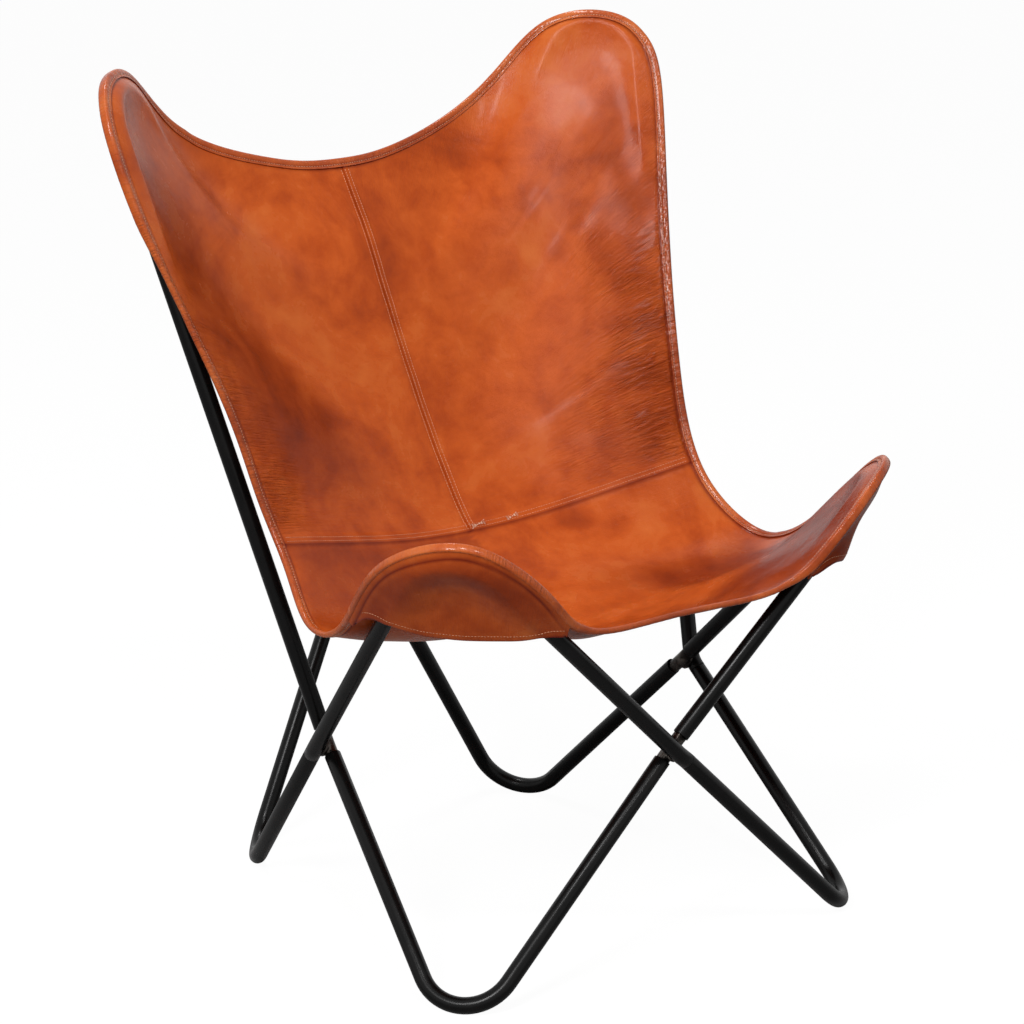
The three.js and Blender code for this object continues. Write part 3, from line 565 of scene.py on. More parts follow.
def ribsAt(at):
    rim, foot = splinePoints(rimRows, at), splinePoints(footRows, at)
    step = 0.01  # a share of a row
    high, low = np.minimum(at + step, slingSizes["lastRow"]), np.maximum(at - step, 0)
    along = units(splinePoints(rimRows, high) - splinePoints(rimRows, low))
    toFoot = foot - rim
    facing = facingsAt(at)
    square = units(np.cross(along, facing))
    leaving = units(toFoot - facing * (toFoot * facing).sum(1, keepdims=True))
    leaving = units(leaving + square * slingSizes["squareLean"])
    handle = slingSizes["rimHandle"] * np.linalg.norm(toFoot, axis=1)
    nearMiddle = foot + np.stack([rim[:, 0] * slingSizes["middleHandle"], 0 * handle, 0 * handle], 1)
    speed = 3 * handle * np.linalg.norm(np.cross(along, leaving), axis=1)
    return {"rim": rim, "foot": foot, "nearRim": rim + leaving * handle[:, None], "nearMiddle": nearMiddle,
            "speed": speed}


def ribPoints(ribs, shares):
    s = shares[..., None]
    rest = 1 - s
    rim, nearRim, nearMiddle, foot = (ribs[key][:, None, :]
                                      for key in ("rim", "nearRim", "nearMiddle", "foot"))
    return rim * rest ** 3 + nearRim * 3 * rest ** 2 * s + nearMiddle * 3 * rest * s ** 2 + foot * s ** 3


# How far each pocket's mouth rises towards its tip above a straight line, at shares of its length
mouthRises = {
    ("back", -1): [(0, -2.5), (0.5, -4), (0.85, 2), (1, -1)],
    ("back", 1): [(0, -2.5), (0.5, -6), (1, -2.5)],
    ("front", -1): [(0, -2), (0.04, 14), (0.08, 23), (0.16, 26), (0.25, 16), (0.34, 6), (0.5, 2), (0.8, 3),
                    (0.93, 11), (1, -2)],
    ("front", 1): [(0, -2.5), (0.2, 10), (0.5, 20), (0.65, 25), (0.8, 31), (0.93, 27), (1, -2.5)],
}


def sideRibs(at, side):
    # The ribs of one half, lowered at the tip that belongs to the inner loop
    ribs = ribsAt(at)
    end = "backTip" if side < 0 else "frontTip"
    drop = innerTipDrops[end] * within(*slingSizes["dropRows"][end], at)
    for key in ("rim", "nearRim"):
        ribs[key] = ribs[key] - drop[:, None] * np.array((0, 0, 1))
    return ribs


def inTip(tip, points):
    offset = points - tip["centre"]
    return offset @ tip["outward"], offset @ tip["across"], offset @ tip["normal"]


def fromTip(tip, out, across, height):
    return (tip["centre"] + out[..., None] * tip["outward"] + across[..., None] * tip["across"]
            + height[..., None] * tip["normal"])


def outsideTube(tip, out, across):
    legAngle = math.pi / 2 - tip["half"]
    fromLeg = out * math.cos(legAngle) + np.abs(across) * math.sin(legAngle)
    fromArc = np.hypot(out, across)
    return np.where(np.abs(np.arctan2(across, out)) <= legAngle, fromArc, fromLeg) - tubeSizes["bendRadius"]


def drapedHeight(outside, slope, clear):
    crest = np.abs(outside) <= clear * np.sin(slope)
    top = np.sqrt(np.maximum(clear ** 2 - outside ** 2, 0))
    return np.where(crest, top, (clear - np.abs(outside) * np.sin(slope)) / np.cos(slope))


def slopeToRim(reach, height, clear):
    straight = np.maximum(np.hypot(reach, height), clear)
    return np.maximum(np.arcsin(clear / straight) - np.arctan2(height, reach), 0)


def relaxed(lift, short, free):
    # A stiff hide bridges smoothly from the tube to the open field and never sinks into the tube
    needed = np.maximum(short, 0)
    smooth = lift
    for _ in range(slingSizes["relaxRounds"]):
        blurred = smooth.copy()
        blurred[:, 1:-1] = (smooth[:, :-2] + 2 * smooth[:, 1:-1] + smooth[:, 2:]) / 4
        blurred[1:-1] = (blurred[:-2] + 2 * blurred[1:-1] + blurred[2:]) / 4
        smooth = lift + (np.maximum(blurred, needed) - lift) * free
    return smooth


def clearTubes(points, ribs, side, free=None):
    clear = slingSizes["tubeClearance"]
    for end in ("back", "front"):
        tip = tipFrames[side][end]
        out, across, height = inTip(tip, points)
        rimOut, rimAcross, rimHeight = inTip(tip, ribs["rim"])
        outside = outsideTube(tip, out, across)
        reach = np.maximum(outsideTube(tip, rimOut, rimAcross), clear)
        rimSlope = slopeToRim(reach, rimHeight, clear)[:, None]
        slope = np.where(outside > 0, rimSlope, math.radians(slingSizes["innerSlope"]))
        short = drapedHeight(outside, slope, clear) - height
        lift = (short + np.hypot(short, slingSizes["liftSoftness"])) / 2
        lift = lift * smoothStep(*slingSizes["liftedFrom"], short)
        if free is not None:
            lift = relaxed(lift, short, free)
        points = points + lift[..., None] * tip["normal"]
    return points


def surfaceAt(at, shares, side, free=None):
    ribs = sideRibs(at, side)
    points = clearTubes(ribPoints(ribs, shares), ribs, side, free)
    return np.where(shares[..., None] < 1, points, ribs["foot"][:, None, :]), ribs


# Stations: about 5 mm apart along the rim, closer where the leather is creased

stationPlan = [(0, 2.5, 40), (2.5, 8, 110), (8, 11.651, 120), (11.651, 14.65, 50), (14.65, 19.5, 90),
               (19.5, 21, 24)]
nearDistances = [0, 1.6, 3.4, 5.5, 8, 10.4, 12.6, 14.6, 16.6, 18.6, 20.6, 22.6, 24.6, 26.8, 29, 31.4, 34,
                 36.6, 39.2, 42, 45, 48.5, 52.5, 57, 62, 68, 75, 83]
openColumns = 44
nearShare = 0.42  # the most of a rib that its near places may take up
openStart = 0.75  # how much closer the first open columns are than evenly spaced ones


def stations():
    return np.concatenate([np.linspace(start, end, count + 1)[(1 if start else 0):]
                           for start, end, count in stationPlan])


def columnShares(speed):
    near = np.array(nearDistances) + slingSizes["edgeInset"]
    speed = speed[:, None]
    fit = np.minimum(1, nearShare * speed / near[-1])
    shares = near[0] / speed + (near - near[0]) / speed * fit
    t = np.linspace(0, 1, openColumns + 1)[1:]
    t = t * (openStart + (1 - openStart) * t)
    return np.hstack([shares, shares[:, -1:] + (1 - shares[:, -1:]) * t])


def lengthsAlong(points, axis):
    total = np.cumsum(np.linalg.norm(np.diff(points, axis=axis), axis=-1), axis=axis)
    return np.pad(total, [(1, 0), (0, 0)] if axis == 0 else [(0, 0), (1, 0)])


def normalsOf(points):
    normals = np.cross(np.gradient(points, axis=1), np.gradient(points, axis=0))
    normals[..., 0] = np.where(points[..., 0] < 0.3, 0, normals[..., 0])
    return units(normals)


def noiseAt(points, size, seed):
    flat = (points.reshape(-1, 3) / size) + seed * 17.31
    found = [noise.noise(Vector(p)) for p in flat]
    return np.array(found).reshape(points.shape[:-1])


# Depths and widths are in mm, rows are places along the rim, and a reach is measured in from the rim
creaseSizes = {
    "seamBand": 9.5,
    "seamStep": 3.5,
    "seamFade": (9, 14),
    "seamProud": 0.9,
    "seatDip": 0.55,
    "middleProud": {1: 0.8, -1: -0.44},
    "middleBand": (7, 10),
    "broadDepth": 1.5,
    "broadSize": 120,
    "broadReach": (12, 60),
    "crossDepth": {1: 0.75, -1: 0.25},
    "crossPitch": 10.5,
    "crossWarp": (26, 1.1),
    "patchSize": 48,
    "crossRows": (8.2, 9.2, 11.2, 11.65),
    "crossReach": (10, 16, 28, 95),
    "wideShare": {1: 0.6, -1: 0.1},
    "wideRows": (5.5, 8.8, 11.3, 11.65),
    "wideReach": (10, 16, 70, 210),
    "bindingDip": 0.5,
    "bindingReach": (9.4, 11, 12, 18),
}


def zoneOf(at, fromRim, rows, reach):
    return within(*rows, at)[:, None] * within(*reach, fromRim)


def mainSheet(side):
    # Both the back and seat of one half, mirrored to the right: a grid from the rim to the middle
    at = stations()
    ribs = sideRibs(at, side)
    shares = columnShares(ribs["speed"])
    reach = lengthsAlong(ribPoints(ribs, shares), 1)
    points, _ = surfaceAt(at, shares, side, smoothStep(*slingSizes["bridgeReach"], reach))
    normals = normalsOf(points)
    along = lengthsAlong(points[:, :1], 0)
    fromRim = lengthsAlong(points, 1) + slingSizes["edgeInset"]
    seamIndex = int(np.argmin(np.abs(at - slingSizes["crossSeamRow"])))
    down = lengthsAlong(points, 0)
    toSeam = down - down[seamIndex]
    place = toSide(points, side)
    size = creaseSizes["broadSize"]
    broad = noiseAt(place, size, 1) + 0.4 * noiseAt(place, size / 3, 2)
    height = creaseSizes["broadDepth"] * broad * smoothStep(*creaseSizes["broadReach"], fromRim)
    # The back's lower edge laps over the seat's upper one
    band = creaseSizes["seamBand"]
    lap = smoothStep(-band - creaseSizes["seamStep"], -band, toSeam) * (toSeam <= 0.001)
    dip = (1 - smoothStep(2, band + 4, toSeam)) * (toSeam > 0.001)
    fade = smoothStep(*creaseSizes["seamFade"], fromRim)
    height += (creaseSizes["seamProud"] * lap - creaseSizes["seatDip"] * dip) * fade
    # Creases square to the rim at the side, where the wing turns into the seat
    size, amount = creaseSizes["crossWarp"]
    warp = amount * noiseAt(place, size, 3)
    waves = np.sin(2 * np.pi * (along / creaseSizes["crossPitch"] + warp + fromRim * 0.012))
    zone = zoneOf(at, fromRim, creaseSizes["crossRows"], creaseSizes["crossReach"])
    patchy = 0.45 + 0.55 * smoothStep(-0.25, 0.3, noiseAt(place, creaseSizes["patchSize"], 4))
    height += creaseSizes["crossDepth"][side] * waves * zone * patchy
    wide = zoneOf(at, fromRim, creaseSizes["wideRows"], creaseSizes["wideReach"])
    crease = np.clip(zone * patchy + creaseSizes["wideShare"][side] * wide * (0.3 + 0.7 * patchy), 0, 1)
    # The seam along the middle of the back: the right panel laps over the left one
    beside = 1 - smoothStep(*creaseSizes["middleBand"], np.abs(points[..., 0]))
    height += creaseSizes["middleProud"][side] * beside * smoothStep(0, 6, -toSeam)
    # The leather is drawn down a little beside the binding
    height -= creaseSizes["bindingDip"] * within(*creaseSizes["bindingReach"], fromRim)
    points = points + normals * height[..., None]
    normals = normalsOf(points)
    return {"at": at, "points": points, "normals": normals,
            "face": points + normals * slingSizes["leather"] / 2, "along": along, "fromRim": fromRim,
            "toSeam": toSeam, "crease": crease, "seam": seamIndex}


sheets = {side: mainSheet(side) for side in (-1, 1)}
print("sling worked out:", sheets[1]["points"].shape, "grid on each half")

# Leather and thread


def leather(name, tones, gloss, grain, glaze):
    # Full-grain cowhide, drum dyed, hand rubbed with a darker wax and glazed: mottled tan, glossy in parts
    material, tree, surface = newMaterial(name)
    place = objectPlace(tree)
    uv = addNode(tree, "UVMap", {"uv_map": "cut"}).outputs["UV"]
    crease, edge = (addNode(tree, "Attribute", {"attribute_name": key}).outputs["Fac"]
                    for key in ("crease", "edge"))
    # Mottling of the rubbed wax: clouds of 60 to 150 mm, with blots of 5 to 30 mm in them
    clouds, blots = addNoise(tree, place, 7, 5, 0.6, 0.9), addNoise(tree, place, 30, 7, 0.6, 0.3)
    mixed = addNode(tree, "Mix", {"data_type": "FLOAT", "Factor": 0.38}, {2: clouds, 3: blots}).outputs[0]
    tone = addRamp(tree, mixed, list(zip((0.33, 0.45, 0.54, 0.68), tones)))
    # Painted shade where the edge attribute is set: lines beside the binding, the seams and stitch grooves,
    # the pockets and broad shaded zones
    multiply = {"data_type": "RGBA", "blend_type": "MULTIPLY"}
    dark = addNode(tree, "Mix", {**multiply, "B": linear("#8E4A34")}, {"Factor": edge, "A": tone})
    # Hair-cell grain of about 1 mm, and fine creases some 2 mm apart that run away from the rim
    pebble = addNode(tree, "TexVoronoi", {"Scale": 900, "feature": "SMOOTH_F1", "Smoothness": 0.6},
                     {"Vector": place})
    stretch = addNode(tree, "Mapping", {"Scale": (430.0, 30.0, 1.0)}, {"Vector": uv})
    lines = addNoise(tree, stretch.outputs["Vector"], 1, 4, 0.62, 0.8)
    # Painted shade in the fine creases, strongest where the crease attribute is set
    creaseShade = addRamp(tree, lines, [(0.36, "#8F5238"), (0.46, "#FFFFFF")])
    inCrease = addMath(tree, "MULTIPLY_ADD", crease, 0.3, -0.03, clamped=True)
    lined = addNode(tree, "Mix", multiply, {"Factor": inCrease, "A": dark.outputs[2], "B": creaseShade})
    creased = addMath(tree, "MULTIPLY", lines, addMath(tree, "MULTIPLY_ADD", crease, 1.0, 0.09))
    normal = addBump(tree, creased, 1.0, 0.0036)
    normal = addBump(tree, addNoise(tree, place, 240, 3, 0.55), 0.5, 0.0006, Normal=normal)
    normal = addBump(tree, pebble.outputs["Distance"], grain, 0.00025, Normal=normal)
    rough = addRange(tree, mixed, 0.35, 0.65, gloss - 0.07, gloss + 0.1)
    addShader(tree, surface,
              {"IOR": 1.45, "Specular IOR Level": 0.13, "Coat Weight": glaze, "Coat Roughness": 0.16},
              {"Base Color": lined.outputs[2], "Roughness": rough, "Normal": normal})
    return material


def threadMaterial(name, tones):
    # Bonded polyester thread, twisted from three plies
    material, tree, surface = newMaterial(name)
    ply = addNoise(tree, objectPlace(tree), 1400, 1)
    colour = addRamp(tree, ply, list(zip((0.35, 0.6), tones)))
    addShader(tree, surface, {"Roughness": 0.5},
              {"Base Color": colour, "Normal": addBump(tree, ply, 0.3, 0.0002)})
    return material


panelLeather = leather("glazedCognacHide", ["#92370D", "#AA4512", "#BA521B", "#C6642B"], 0.22, 0.3, 0.04)
bindingLeather = leather("glazedSaddleBinding", ["#8A330C", "#A64413", "#B8541F", "#CA6C34"], 0.24, 0.22, 0.3)
thread = threadMaterial("tanBondedThread", ["#B0603A", "#DBA27C"])
tackThread = threadMaterial("paleBondedThread", ["#C99A7C", "#E8CDB8"])

# Meshes from grids


def flipped(values, side):
    return values if side > 0 else values[::-1]


def mirrored(grid, side):
    return flipped(toSide(grid, side), side)


def joined(order, gridOf):
    # The grids of both halves, which share the rib in the middle
    first, second = (gridOf(side) for side in order)
    return np.concatenate([first, second[1:]])


def meshPiece(name, points, faces):
    mesh = bpy.data.meshes.new(name)
    mesh.from_pydata((points * mm).tolist(), [], faces)
    piece = bpy.data.objects.new(name, mesh)
    bpy.context.scene.collection.objects.link(piece)
    makeActive(piece)
    return piece


def closedSheet(name, face, rear, values, foldsBack=False):
    # A closed body between two grids of places. Values are per-place numbers for UV and attributes.
    # A grid that folds back has its last column once in each half, and no wall there.
    rows, cols = face.shape[:2]
    count = rows * cols
    a = (np.arange(rows - 1)[:, None] * cols + np.arange(cols - 1)).ravel()
    front = np.stack([a, a + 1, a + cols + 1, a + cols], 1)
    back = np.stack([a, a + cols, a + cols + 1, a + 1], 1) + count
    down, over = np.arange(rows - 1) * cols, np.arange(cols - 1)
    end, low = down + cols - 1, over + (rows - 1) * cols
    edges = [(down, down + cols), (end + cols, end), (over + 1, over), (low, low + 1)]
    if foldsBack:
        del edges[1]
    walls = [np.stack([a, b, b + count, a + count], 1) for a, b in edges]
    faces = np.concatenate([front, back, *walls])
    piece = meshPiece(name, np.concatenate([face.reshape(-1, 3), rear.reshape(-1, 3)]), faces.tolist())
    uv = np.stack([values["along"].ravel(), values["fromRim"].ravel()], 1) * mm
    layer = piece.data.uv_layers.new(name="cut")
    layer.data.foreach_set("uv", np.concatenate([uv, uv])[faces.ravel()].ravel())
    for key in ("crease", "edge"):
        attribute = piece.data.attributes.new(key, "FLOAT", "POINT")
        attribute.data.foreach_set("value", np.tile(values[key].ravel(), 2))
    mergeClose(slingSizes["mergeWithin"])
    bpy.ops.object.shade_smooth_by_angle(angle=math.radians(slingSizes["smoothBelow"]))
    return piece


# Darker lines of painted shade beside the binding, along the seams and in the border's stitch groove, and a
# dark line at each pocket's mouth: where each is, its width in mm and how dark it is
darkLines = {
    "binding": (11.5, 2.2, 0.75),
    "crossSeam": (0, 1.4, 0.6),
    "middleSeam": (0, 0.9, 0.3),
    "mouth": (0, 2, 0.5),
    "stitches": (0, 0.7, 0.8),
}
# Where shade is painted darker on each half: rows, the reach in from the rim in mm, and how much
shadeZones = {
    -1: [((4.2, 6.8, 9.8, 11.3), (35, 85, 150, 260), 0.46),
         ((11.6, 11.8, 15.0, 16.5), (10, 30, 260, 420), 0.42),
         ((14.5, 16.0, 21.5, 22.0), (6, 12, 70, 150), 0.42)],
    1: [((9.0, 10.5, 11.6, 12.6), (10, 14, 60, 130), 0.1),
        ((16.5, 18.2, 21.5, 22.0), (6, 12, 60, 130), 0.5),
        ((12.6, 14.2, 18.0, 21.0), (14, 40, 150, 250), 0.72)],
}
raggedShade = (34, 70)  # how far the painted shade's edges wander, and over what distance


def darkLine(key, distance):
    place, width, amount = darkLines[key]
    return np.exp(-((distance - place) / width) ** 2) * amount


# Painted shade: broad darker zones on the wings and the seat, with ragged edges
def zoneShade(sheet, side):
    far, size = raggedShade
    fromRim = sheet["fromRim"] + far * noiseAt(toSide(sheet["points"], side), size, 9)
    return np.max([amount * zoneOf(sheet["at"], fromRim, rows, reach)
                   for rows, reach, amount in shadeZones[side]], 0)


def sheetValues(side, rows):
    sheet = sheets[side]
    # Painted shade along the binding and both seams, added to the painted shade zones
    middle = darkLine("middleSeam", sheet["points"][..., 0]) * (sheet["toSeam"] < 0.001)
    edge = darkLine("binding", sheet["fromRim"]) + darkLine("crossSeam", sheet["toSeam"]) + middle
    values = {"along": np.broadcast_to(sheet["along"], edge.shape), "fromRim": sheet["fromRim"],
              "crease": sheet["crease"], "edge": np.clip(edge + zoneShade(sheet, side), 0, 1)}
    return {key: flipped(value[rows], side) for key, value in values.items()}


def thickness(points, normals, rounded):
    half = slingSizes["leather"] / 2 * rounded[..., None]
    return points + normals * half, points - normals * half


def halfPanel(side, isBack):
    # One half's face, rear and values, cut back a little along the seams so that the panels only touch
    sheet = sheets[side]
    rows = slice(0, sheet["seam"] + 1) if isBack else slice(sheet["seam"], None)
    edge, inward = (-1, -2) if isBack else (0, 1)
    points = sheet["points"][rows].copy()
    points[edge] += units(points[inward] - points[edge]) * slingSizes["seamCut"]
    rounded = np.ones(points.shape[:2])
    if isBack:
        points[..., 0] = np.maximum(points[..., 0], slingSizes["seamCut"])
        rounded[edge] = slingSizes["seamRounded"]
    face, rear = thickness(points, sheet["normals"][rows], rounded)
    return mirrored(face, side), mirrored(rear, side), sheetValues(side, rows)


sideNames = {-1: "Left", 1: "Right"}
for side, sideName in sideNames.items():
    piece = closedSheet(f"backPanel{sideName}", *halfPanel(side, True))
    finishPiece(piece, f"back_panel_{sideName.lower()}", panelLeather)
halves = {side: halfPanel(side, False) for side in (1, -1)}
for right, left in zip(halves[1][:2], halves[-1][:2]):
    left[:, -1] = right[::-1, -1]
face, rear = (joined((1, -1), lambda side: halves[side][index]) for index in (0, 1))
values = {key: joined((1, -1), lambda side: halves[side][2][key]) for key in halves[1][2]}
seatPanel = closedSheet("seatPanel", face, rear, values, foldsBack=True)
finishPiece(seatPanel, "seat_panel", panelLeather)
print("panels done")

# Pockets: a layer behind each tip's tube, from the rim to an open mouth that sags a little

pocketSizes = {
    "rimColumns": 6,
    "mouthColumns": 46,
    "rows": {"back": 111, "front": 91},
    "slack": 0.6,
    "looseFrom": (0.25, 1.0),
    "hollowReach": (0, 42),
    "hollowUntil": (0.6, 1.0),
    "waveHeight": 0.9,
    "waveSize": 60,
    "waveReach": (14, 40),
    "waveSeed": {"back": 7, "front": 8},
    "shadeReach": (8, 26, 40, 70),
}


def edgeFrame(at, side, distances):
    # Two places in from the rim at each row, and the leather's normal between them
    ribs = sideRibs(at, side)
    pair, _ = surfaceAt(at, np.array(distances) / ribs["speed"][:, None], side)
    return pair, units(np.cross(pair[:, 1] - pair[:, 0], np.gradient(pair[:, 0], axis=0)))


def facingBehind(tip, rim, normal):
    # The layer behind faces as the tip does where it is near the tube, and as the leather further out
    height = inTip(tip, rim)[2] - layerStep / 2
    farness = np.clip(height / (2 * tubeSizes["radius"]), 0, 1)[:, None]
    return units(tip["normal"] * (1 - farness) + normal * farness)


def pocketGrid(end, side):
    at = np.linspace(*slingSizes["pocketRows"][end], pocketSizes["rows"][end])
    near = np.array(nearDistances[:pocketSizes["rimColumns"]]) + slingSizes["edgeInset"]
    places, _ = surfaceAt(at, near / sideRibs(at, side)["speed"][:, None], side)
    pair, sheetNormal = edgeFrame(at, side, (near[0], near[-1]))
    tip, clear, slack = tipFrames[side][end], slingSizes["tubeClearance"], pocketSizes["slack"]
    facing = facingBehind(tip, pair[:, 0], sheetNormal)
    out, across, height = inTip(tip, places - facing[:, None, :] * layerStep)
    reach = np.maximum(outsideTube(tip, out[:, 0], across[:, 0]), clear)
    slope = slopeToRim(reach, -height[:, 0], clear)[:, None]
    # The mouth: a line between the ends of the rim's part, raised as listed and rounded off
    share = np.linspace(0, 1, len(at))
    rise = np.interp(share, *np.array(mouthRises[end, side]).T)
    rise = np.convolve(np.pad(rise, 4, mode="edge"), np.ones(9) / 9, "valid")
    mouthOut = out[0, -1] + (out[-1, -1] - out[0, -1]) * share + rise
    mouthAcross = across[0, -1] + (across[-1, -1] - across[0, -1]) * share
    t = np.linspace(0, 1, pocketSizes["mouthColumns"] + 1)[1:][None, :]
    openOut = out[:, -1:] + (mouthOut[:, None] - out[:, -1:]) * t
    openAcross = across[:, -1:] + (mouthAcross[:, None] - across[:, -1:]) * t
    outside = outsideTube(tip, openOut, openAcross)
    behind = -slack - np.where(outside > 0, drapedHeight(outside, slope, clear), clear)
    skew = slingSizes["pocketSagSkew"][end, side]
    loose = smoothStep(*pocketSizes["looseFrom"], t) * np.sin(np.pi * share ** skew)[:, None] ** 0.7
    between = smoothStep(*pocketSizes["hollowReach"], -outside) * np.sin(np.pi * share)[:, None]
    between = between * (1 - smoothStep(*pocketSizes["hollowUntil"], t))
    behind = behind - slingSizes["pocketSag"][end, side] * loose
    behind = behind + slingSizes["pocketHollow"][end, side] * between
    rimHeight = np.minimum(-slack - drapedHeight(outsideTube(tip, out, across), slope, clear), height)
    points = np.concatenate([fromTip(tip, out, across, rimHeight),
                             fromTip(tip, openOut, openAcross, behind)], 1)
    waves = noiseAt(toSide(points, side), pocketSizes["waveSize"], pocketSizes["waveSeed"][end])
    waves = pocketSizes["waveHeight"] * waves * smoothStep(*pocketSizes["waveReach"], lengthsAlong(points, 1))
    points = points + normalsOf(points) * waves[..., None]
    return {"points": points, "normals": normalsOf(points), "along": lengthsAlong(points[:, :1], 0),
            "fromRim": lengthsAlong(points, 1)}


def pocketPiece(end, side):
    grid = pocketGrid(end, side)
    fromRim = grid["fromRim"]
    rounded = np.ones(fromRim.shape)
    rounded[:, -1] = slingSizes["mouthRounded"]
    grid["toMouth"] = fromRim[:, -1:] - fromRim
    # Painted shade: the pocket is a little darker overall and most in its hollow below the rim, with a dark
    # line at the mouth and painted shade beside the binding
    edge = (darkLine("mouth", grid["toMouth"]) + darkLine("binding", fromRim)
            + within(*pocketSizes["shadeReach"], fromRim) * 0.45 + 0.12)
    values = {"along": np.broadcast_to(grid["along"], fromRim.shape), "fromRim": fromRim,
              "crease": np.full(fromRim.shape, 0.05), "edge": np.clip(edge, 0, 1)}
    values = {key: flipped(value, side) for key, value in values.items()}
    face, rear = (mirrored(layer, side) for layer in thickness(grid["points"], grid["normals"], rounded))
    piece = closedSheet(f"{end}Pocket{sideNames[side]}", face, rear, values)
    finishPiece(piece, f"{end}_pocket_{sideNames[side].lower()}", panelLeather)
    return piece, grid


pockets = {(end, side): pocketPiece(end, side) for end in ("back", "front") for side in (-1, 1)}
print("pockets done")

# Bound borders: a strip of thin leather folded over the rim, puckered along its edge

borderSizes = {
    "thickness": 1.0,
    "width": 10.8,
    "roll": 2.6,
    "stitchLine": 7.6,
    "glue": 0.15,
    "pucker": 0.16,
    "sidePucker": {1: 0.3, -1: 0.07},
    "puckerPitches": (4.3, 7.1),
    "sideRows": (7.2, 8.6, 11.2, 11.6),
    "tipRows": (2, 3, 7, 8),
    "puckerReach": (0.2, 4),
    "lipReach": (9.2, 10.8),
    "shadeReach": (10.2, 10.8),
    "rowsPerUnit": 42,
    "pocketFades": (0.3, 0.55),
}


def stripSection():
    # Distances in from the fold's outer edge and heights as shares of the stack, from the rear to the face
    width, roll, stitch = borderSizes["width"], borderSizes["roll"], borderSizes["stitchLine"]
    wing = [(width, 0.62), (width - 0.25, 0.95), (width - 0.8, 1.0), (width - 1.8, 1.0), (stitch + 0.8, 1.0),
            (stitch, 0.93), (stitch - 0.8, 1.12), (stitch - 2.2, 1.34), (roll + 1.0, 1.42)]
    arc = [(roll - roll * math.cos(a), 1.4 * math.sin(a)) for a in np.radians((78, 62, 45, 27, 10))]
    face = wing + arc
    return [(distance, -height) for distance, height in face] + face[::-1]


def borderGrid(side, first, last):
    count = int((last - first) * borderSizes["rowsPerUnit"]) + 1
    at = np.linspace(first, last, count)
    distances, heights = np.array(stripSection()).T
    points, ribs = surfaceAt(at, distances / sideRibs(at, side)["speed"][:, None], side)
    edgePair, normal = edgeFrame(at, side, (0.5, 9.5))
    atMiddle = (np.abs(edgePair[:, 0, 0]) < 0.5)[:, None]
    normal = units(np.where(atMiddle, normal * np.array((0, 1, 1)), normal))
    # Where a pocket is sewn in, the strip is folded round it too
    pocketOn, rearFacing = np.zeros((count, 1)), normal
    before, after = borderSizes["pocketFades"]
    for end in ("back", "front"):
        start, stop = slingSizes["pocketRows"][end]
        on = within(start - before, start, stop, stop + after, at)[:, None]
        facing = facingBehind(tipFrames[side][end], edgePair[:, 0], normal)
        rearFacing = np.where(on > 0, rearFacing * (1 - on) + facing * on, rearFacing)
        pocketOn = np.maximum(pocketOn, on)
    rearFacing = units(rearFacing)
    faceStack = slingSizes["leather"] / 2 + borderSizes["glue"]
    rearStack = faceStack + pocketOn * layerStep
    along = lengthsAlong(ribs["rim"][:, None, :], 0)[:, 0]
    place = toSide(ribs["rim"], side)
    wob = noiseAt(place, 9, 5)
    close, far = borderSizes["puckerPitches"]
    waves = np.sin(2 * np.pi * (along / close + 0.9 * wob)) + 0.6 * np.sin(2 * np.pi * (along / far + wob))
    sideZone = within(*borderSizes["sideRows"], at)
    depth = borderSizes["pucker"] * (0.5 + 0.5 * within(*borderSizes["tipRows"], at))
    depth = (depth + borderSizes["sidePucker"][side] * sideZone) * (0.6 + 0.8 * np.abs(noiseAt(place, 31, 6)))
    lip = smoothStep(*borderSizes["lipReach"], distances)
    across = np.sign(heights) * smoothStep(*borderSizes["puckerReach"], distances) * (1 - 0.75 * lip)
    pucker = (waves * depth)[:, None] * across

    def layerAt(extra, puckered):
        rise = np.where(heights > 0, faceStack + extra, rearStack + extra) * heights + puckered
        direction = np.where(heights[:, None] > 0, normal[:, None, :], rearFacing[:, None, :])
        return points + direction * rise[..., None]

    # The strip's hidden side follows its outer one, nearer the leather
    inward = units(edgePair[:, 1] - edgePair[:, 0])
    pull = np.where(distances < borderSizes["roll"] + 0.6, borderSizes["thickness"] * 0.9, 0.0)
    rows, columns = np.ones((count, 1)), np.ones(len(distances))
    # Painted shade in the stitch groove and along the strip's edge, where it stands above the panel
    edge = darkLine("stitches", distances - borderSizes["stitchLine"])
    edge = edge + smoothStep(*borderSizes["shadeReach"], distances) * 0.8
    values = {"along": along[:, None] * columns, "fromRim": rows * (distances * np.sign(heights)),
              "crease": (0.35 + 0.65 * sideZone)[:, None] * columns, "edge": rows * edge}
    return {"outer": layerAt(borderSizes["thickness"], pucker),
            "inner": layerAt(0.0, 0.0) + inward[:, None, :] * pull[:, None],
            "values": values, "normal": normal, "rearFacing": rearFacing, "distances": distances}


def borderPiece(name, node, first, last):
    halves = {side: borderGrid(side, first, last) for side in (1, -1)}
    order = (-1, 1) if first == 0 else (1, -1)
    outer, inner = (joined(order, lambda side: mirrored(halves[side][key], side))
                    for key in ("outer", "inner"))
    values = {key: joined(order, lambda side: flipped(halves[side]["values"][key], side))
              for key in halves[1]["values"]}
    finishPiece(closedSheet(name, outer, inner, values), node, bindingLeather)
    return halves


seamRow, seamShare = slingSizes["crossSeamRow"], 0.003
backBorder = borderPiece("backBorder", "back_border", 0, seamRow - seamShare)
seatBorder = borderPiece("seatBorder", "seat_border", seamRow + seamShare, slingSizes["lastRow"])
print("borders done")

# Stitches: one loop of thread, modelled once and set along each sewn line

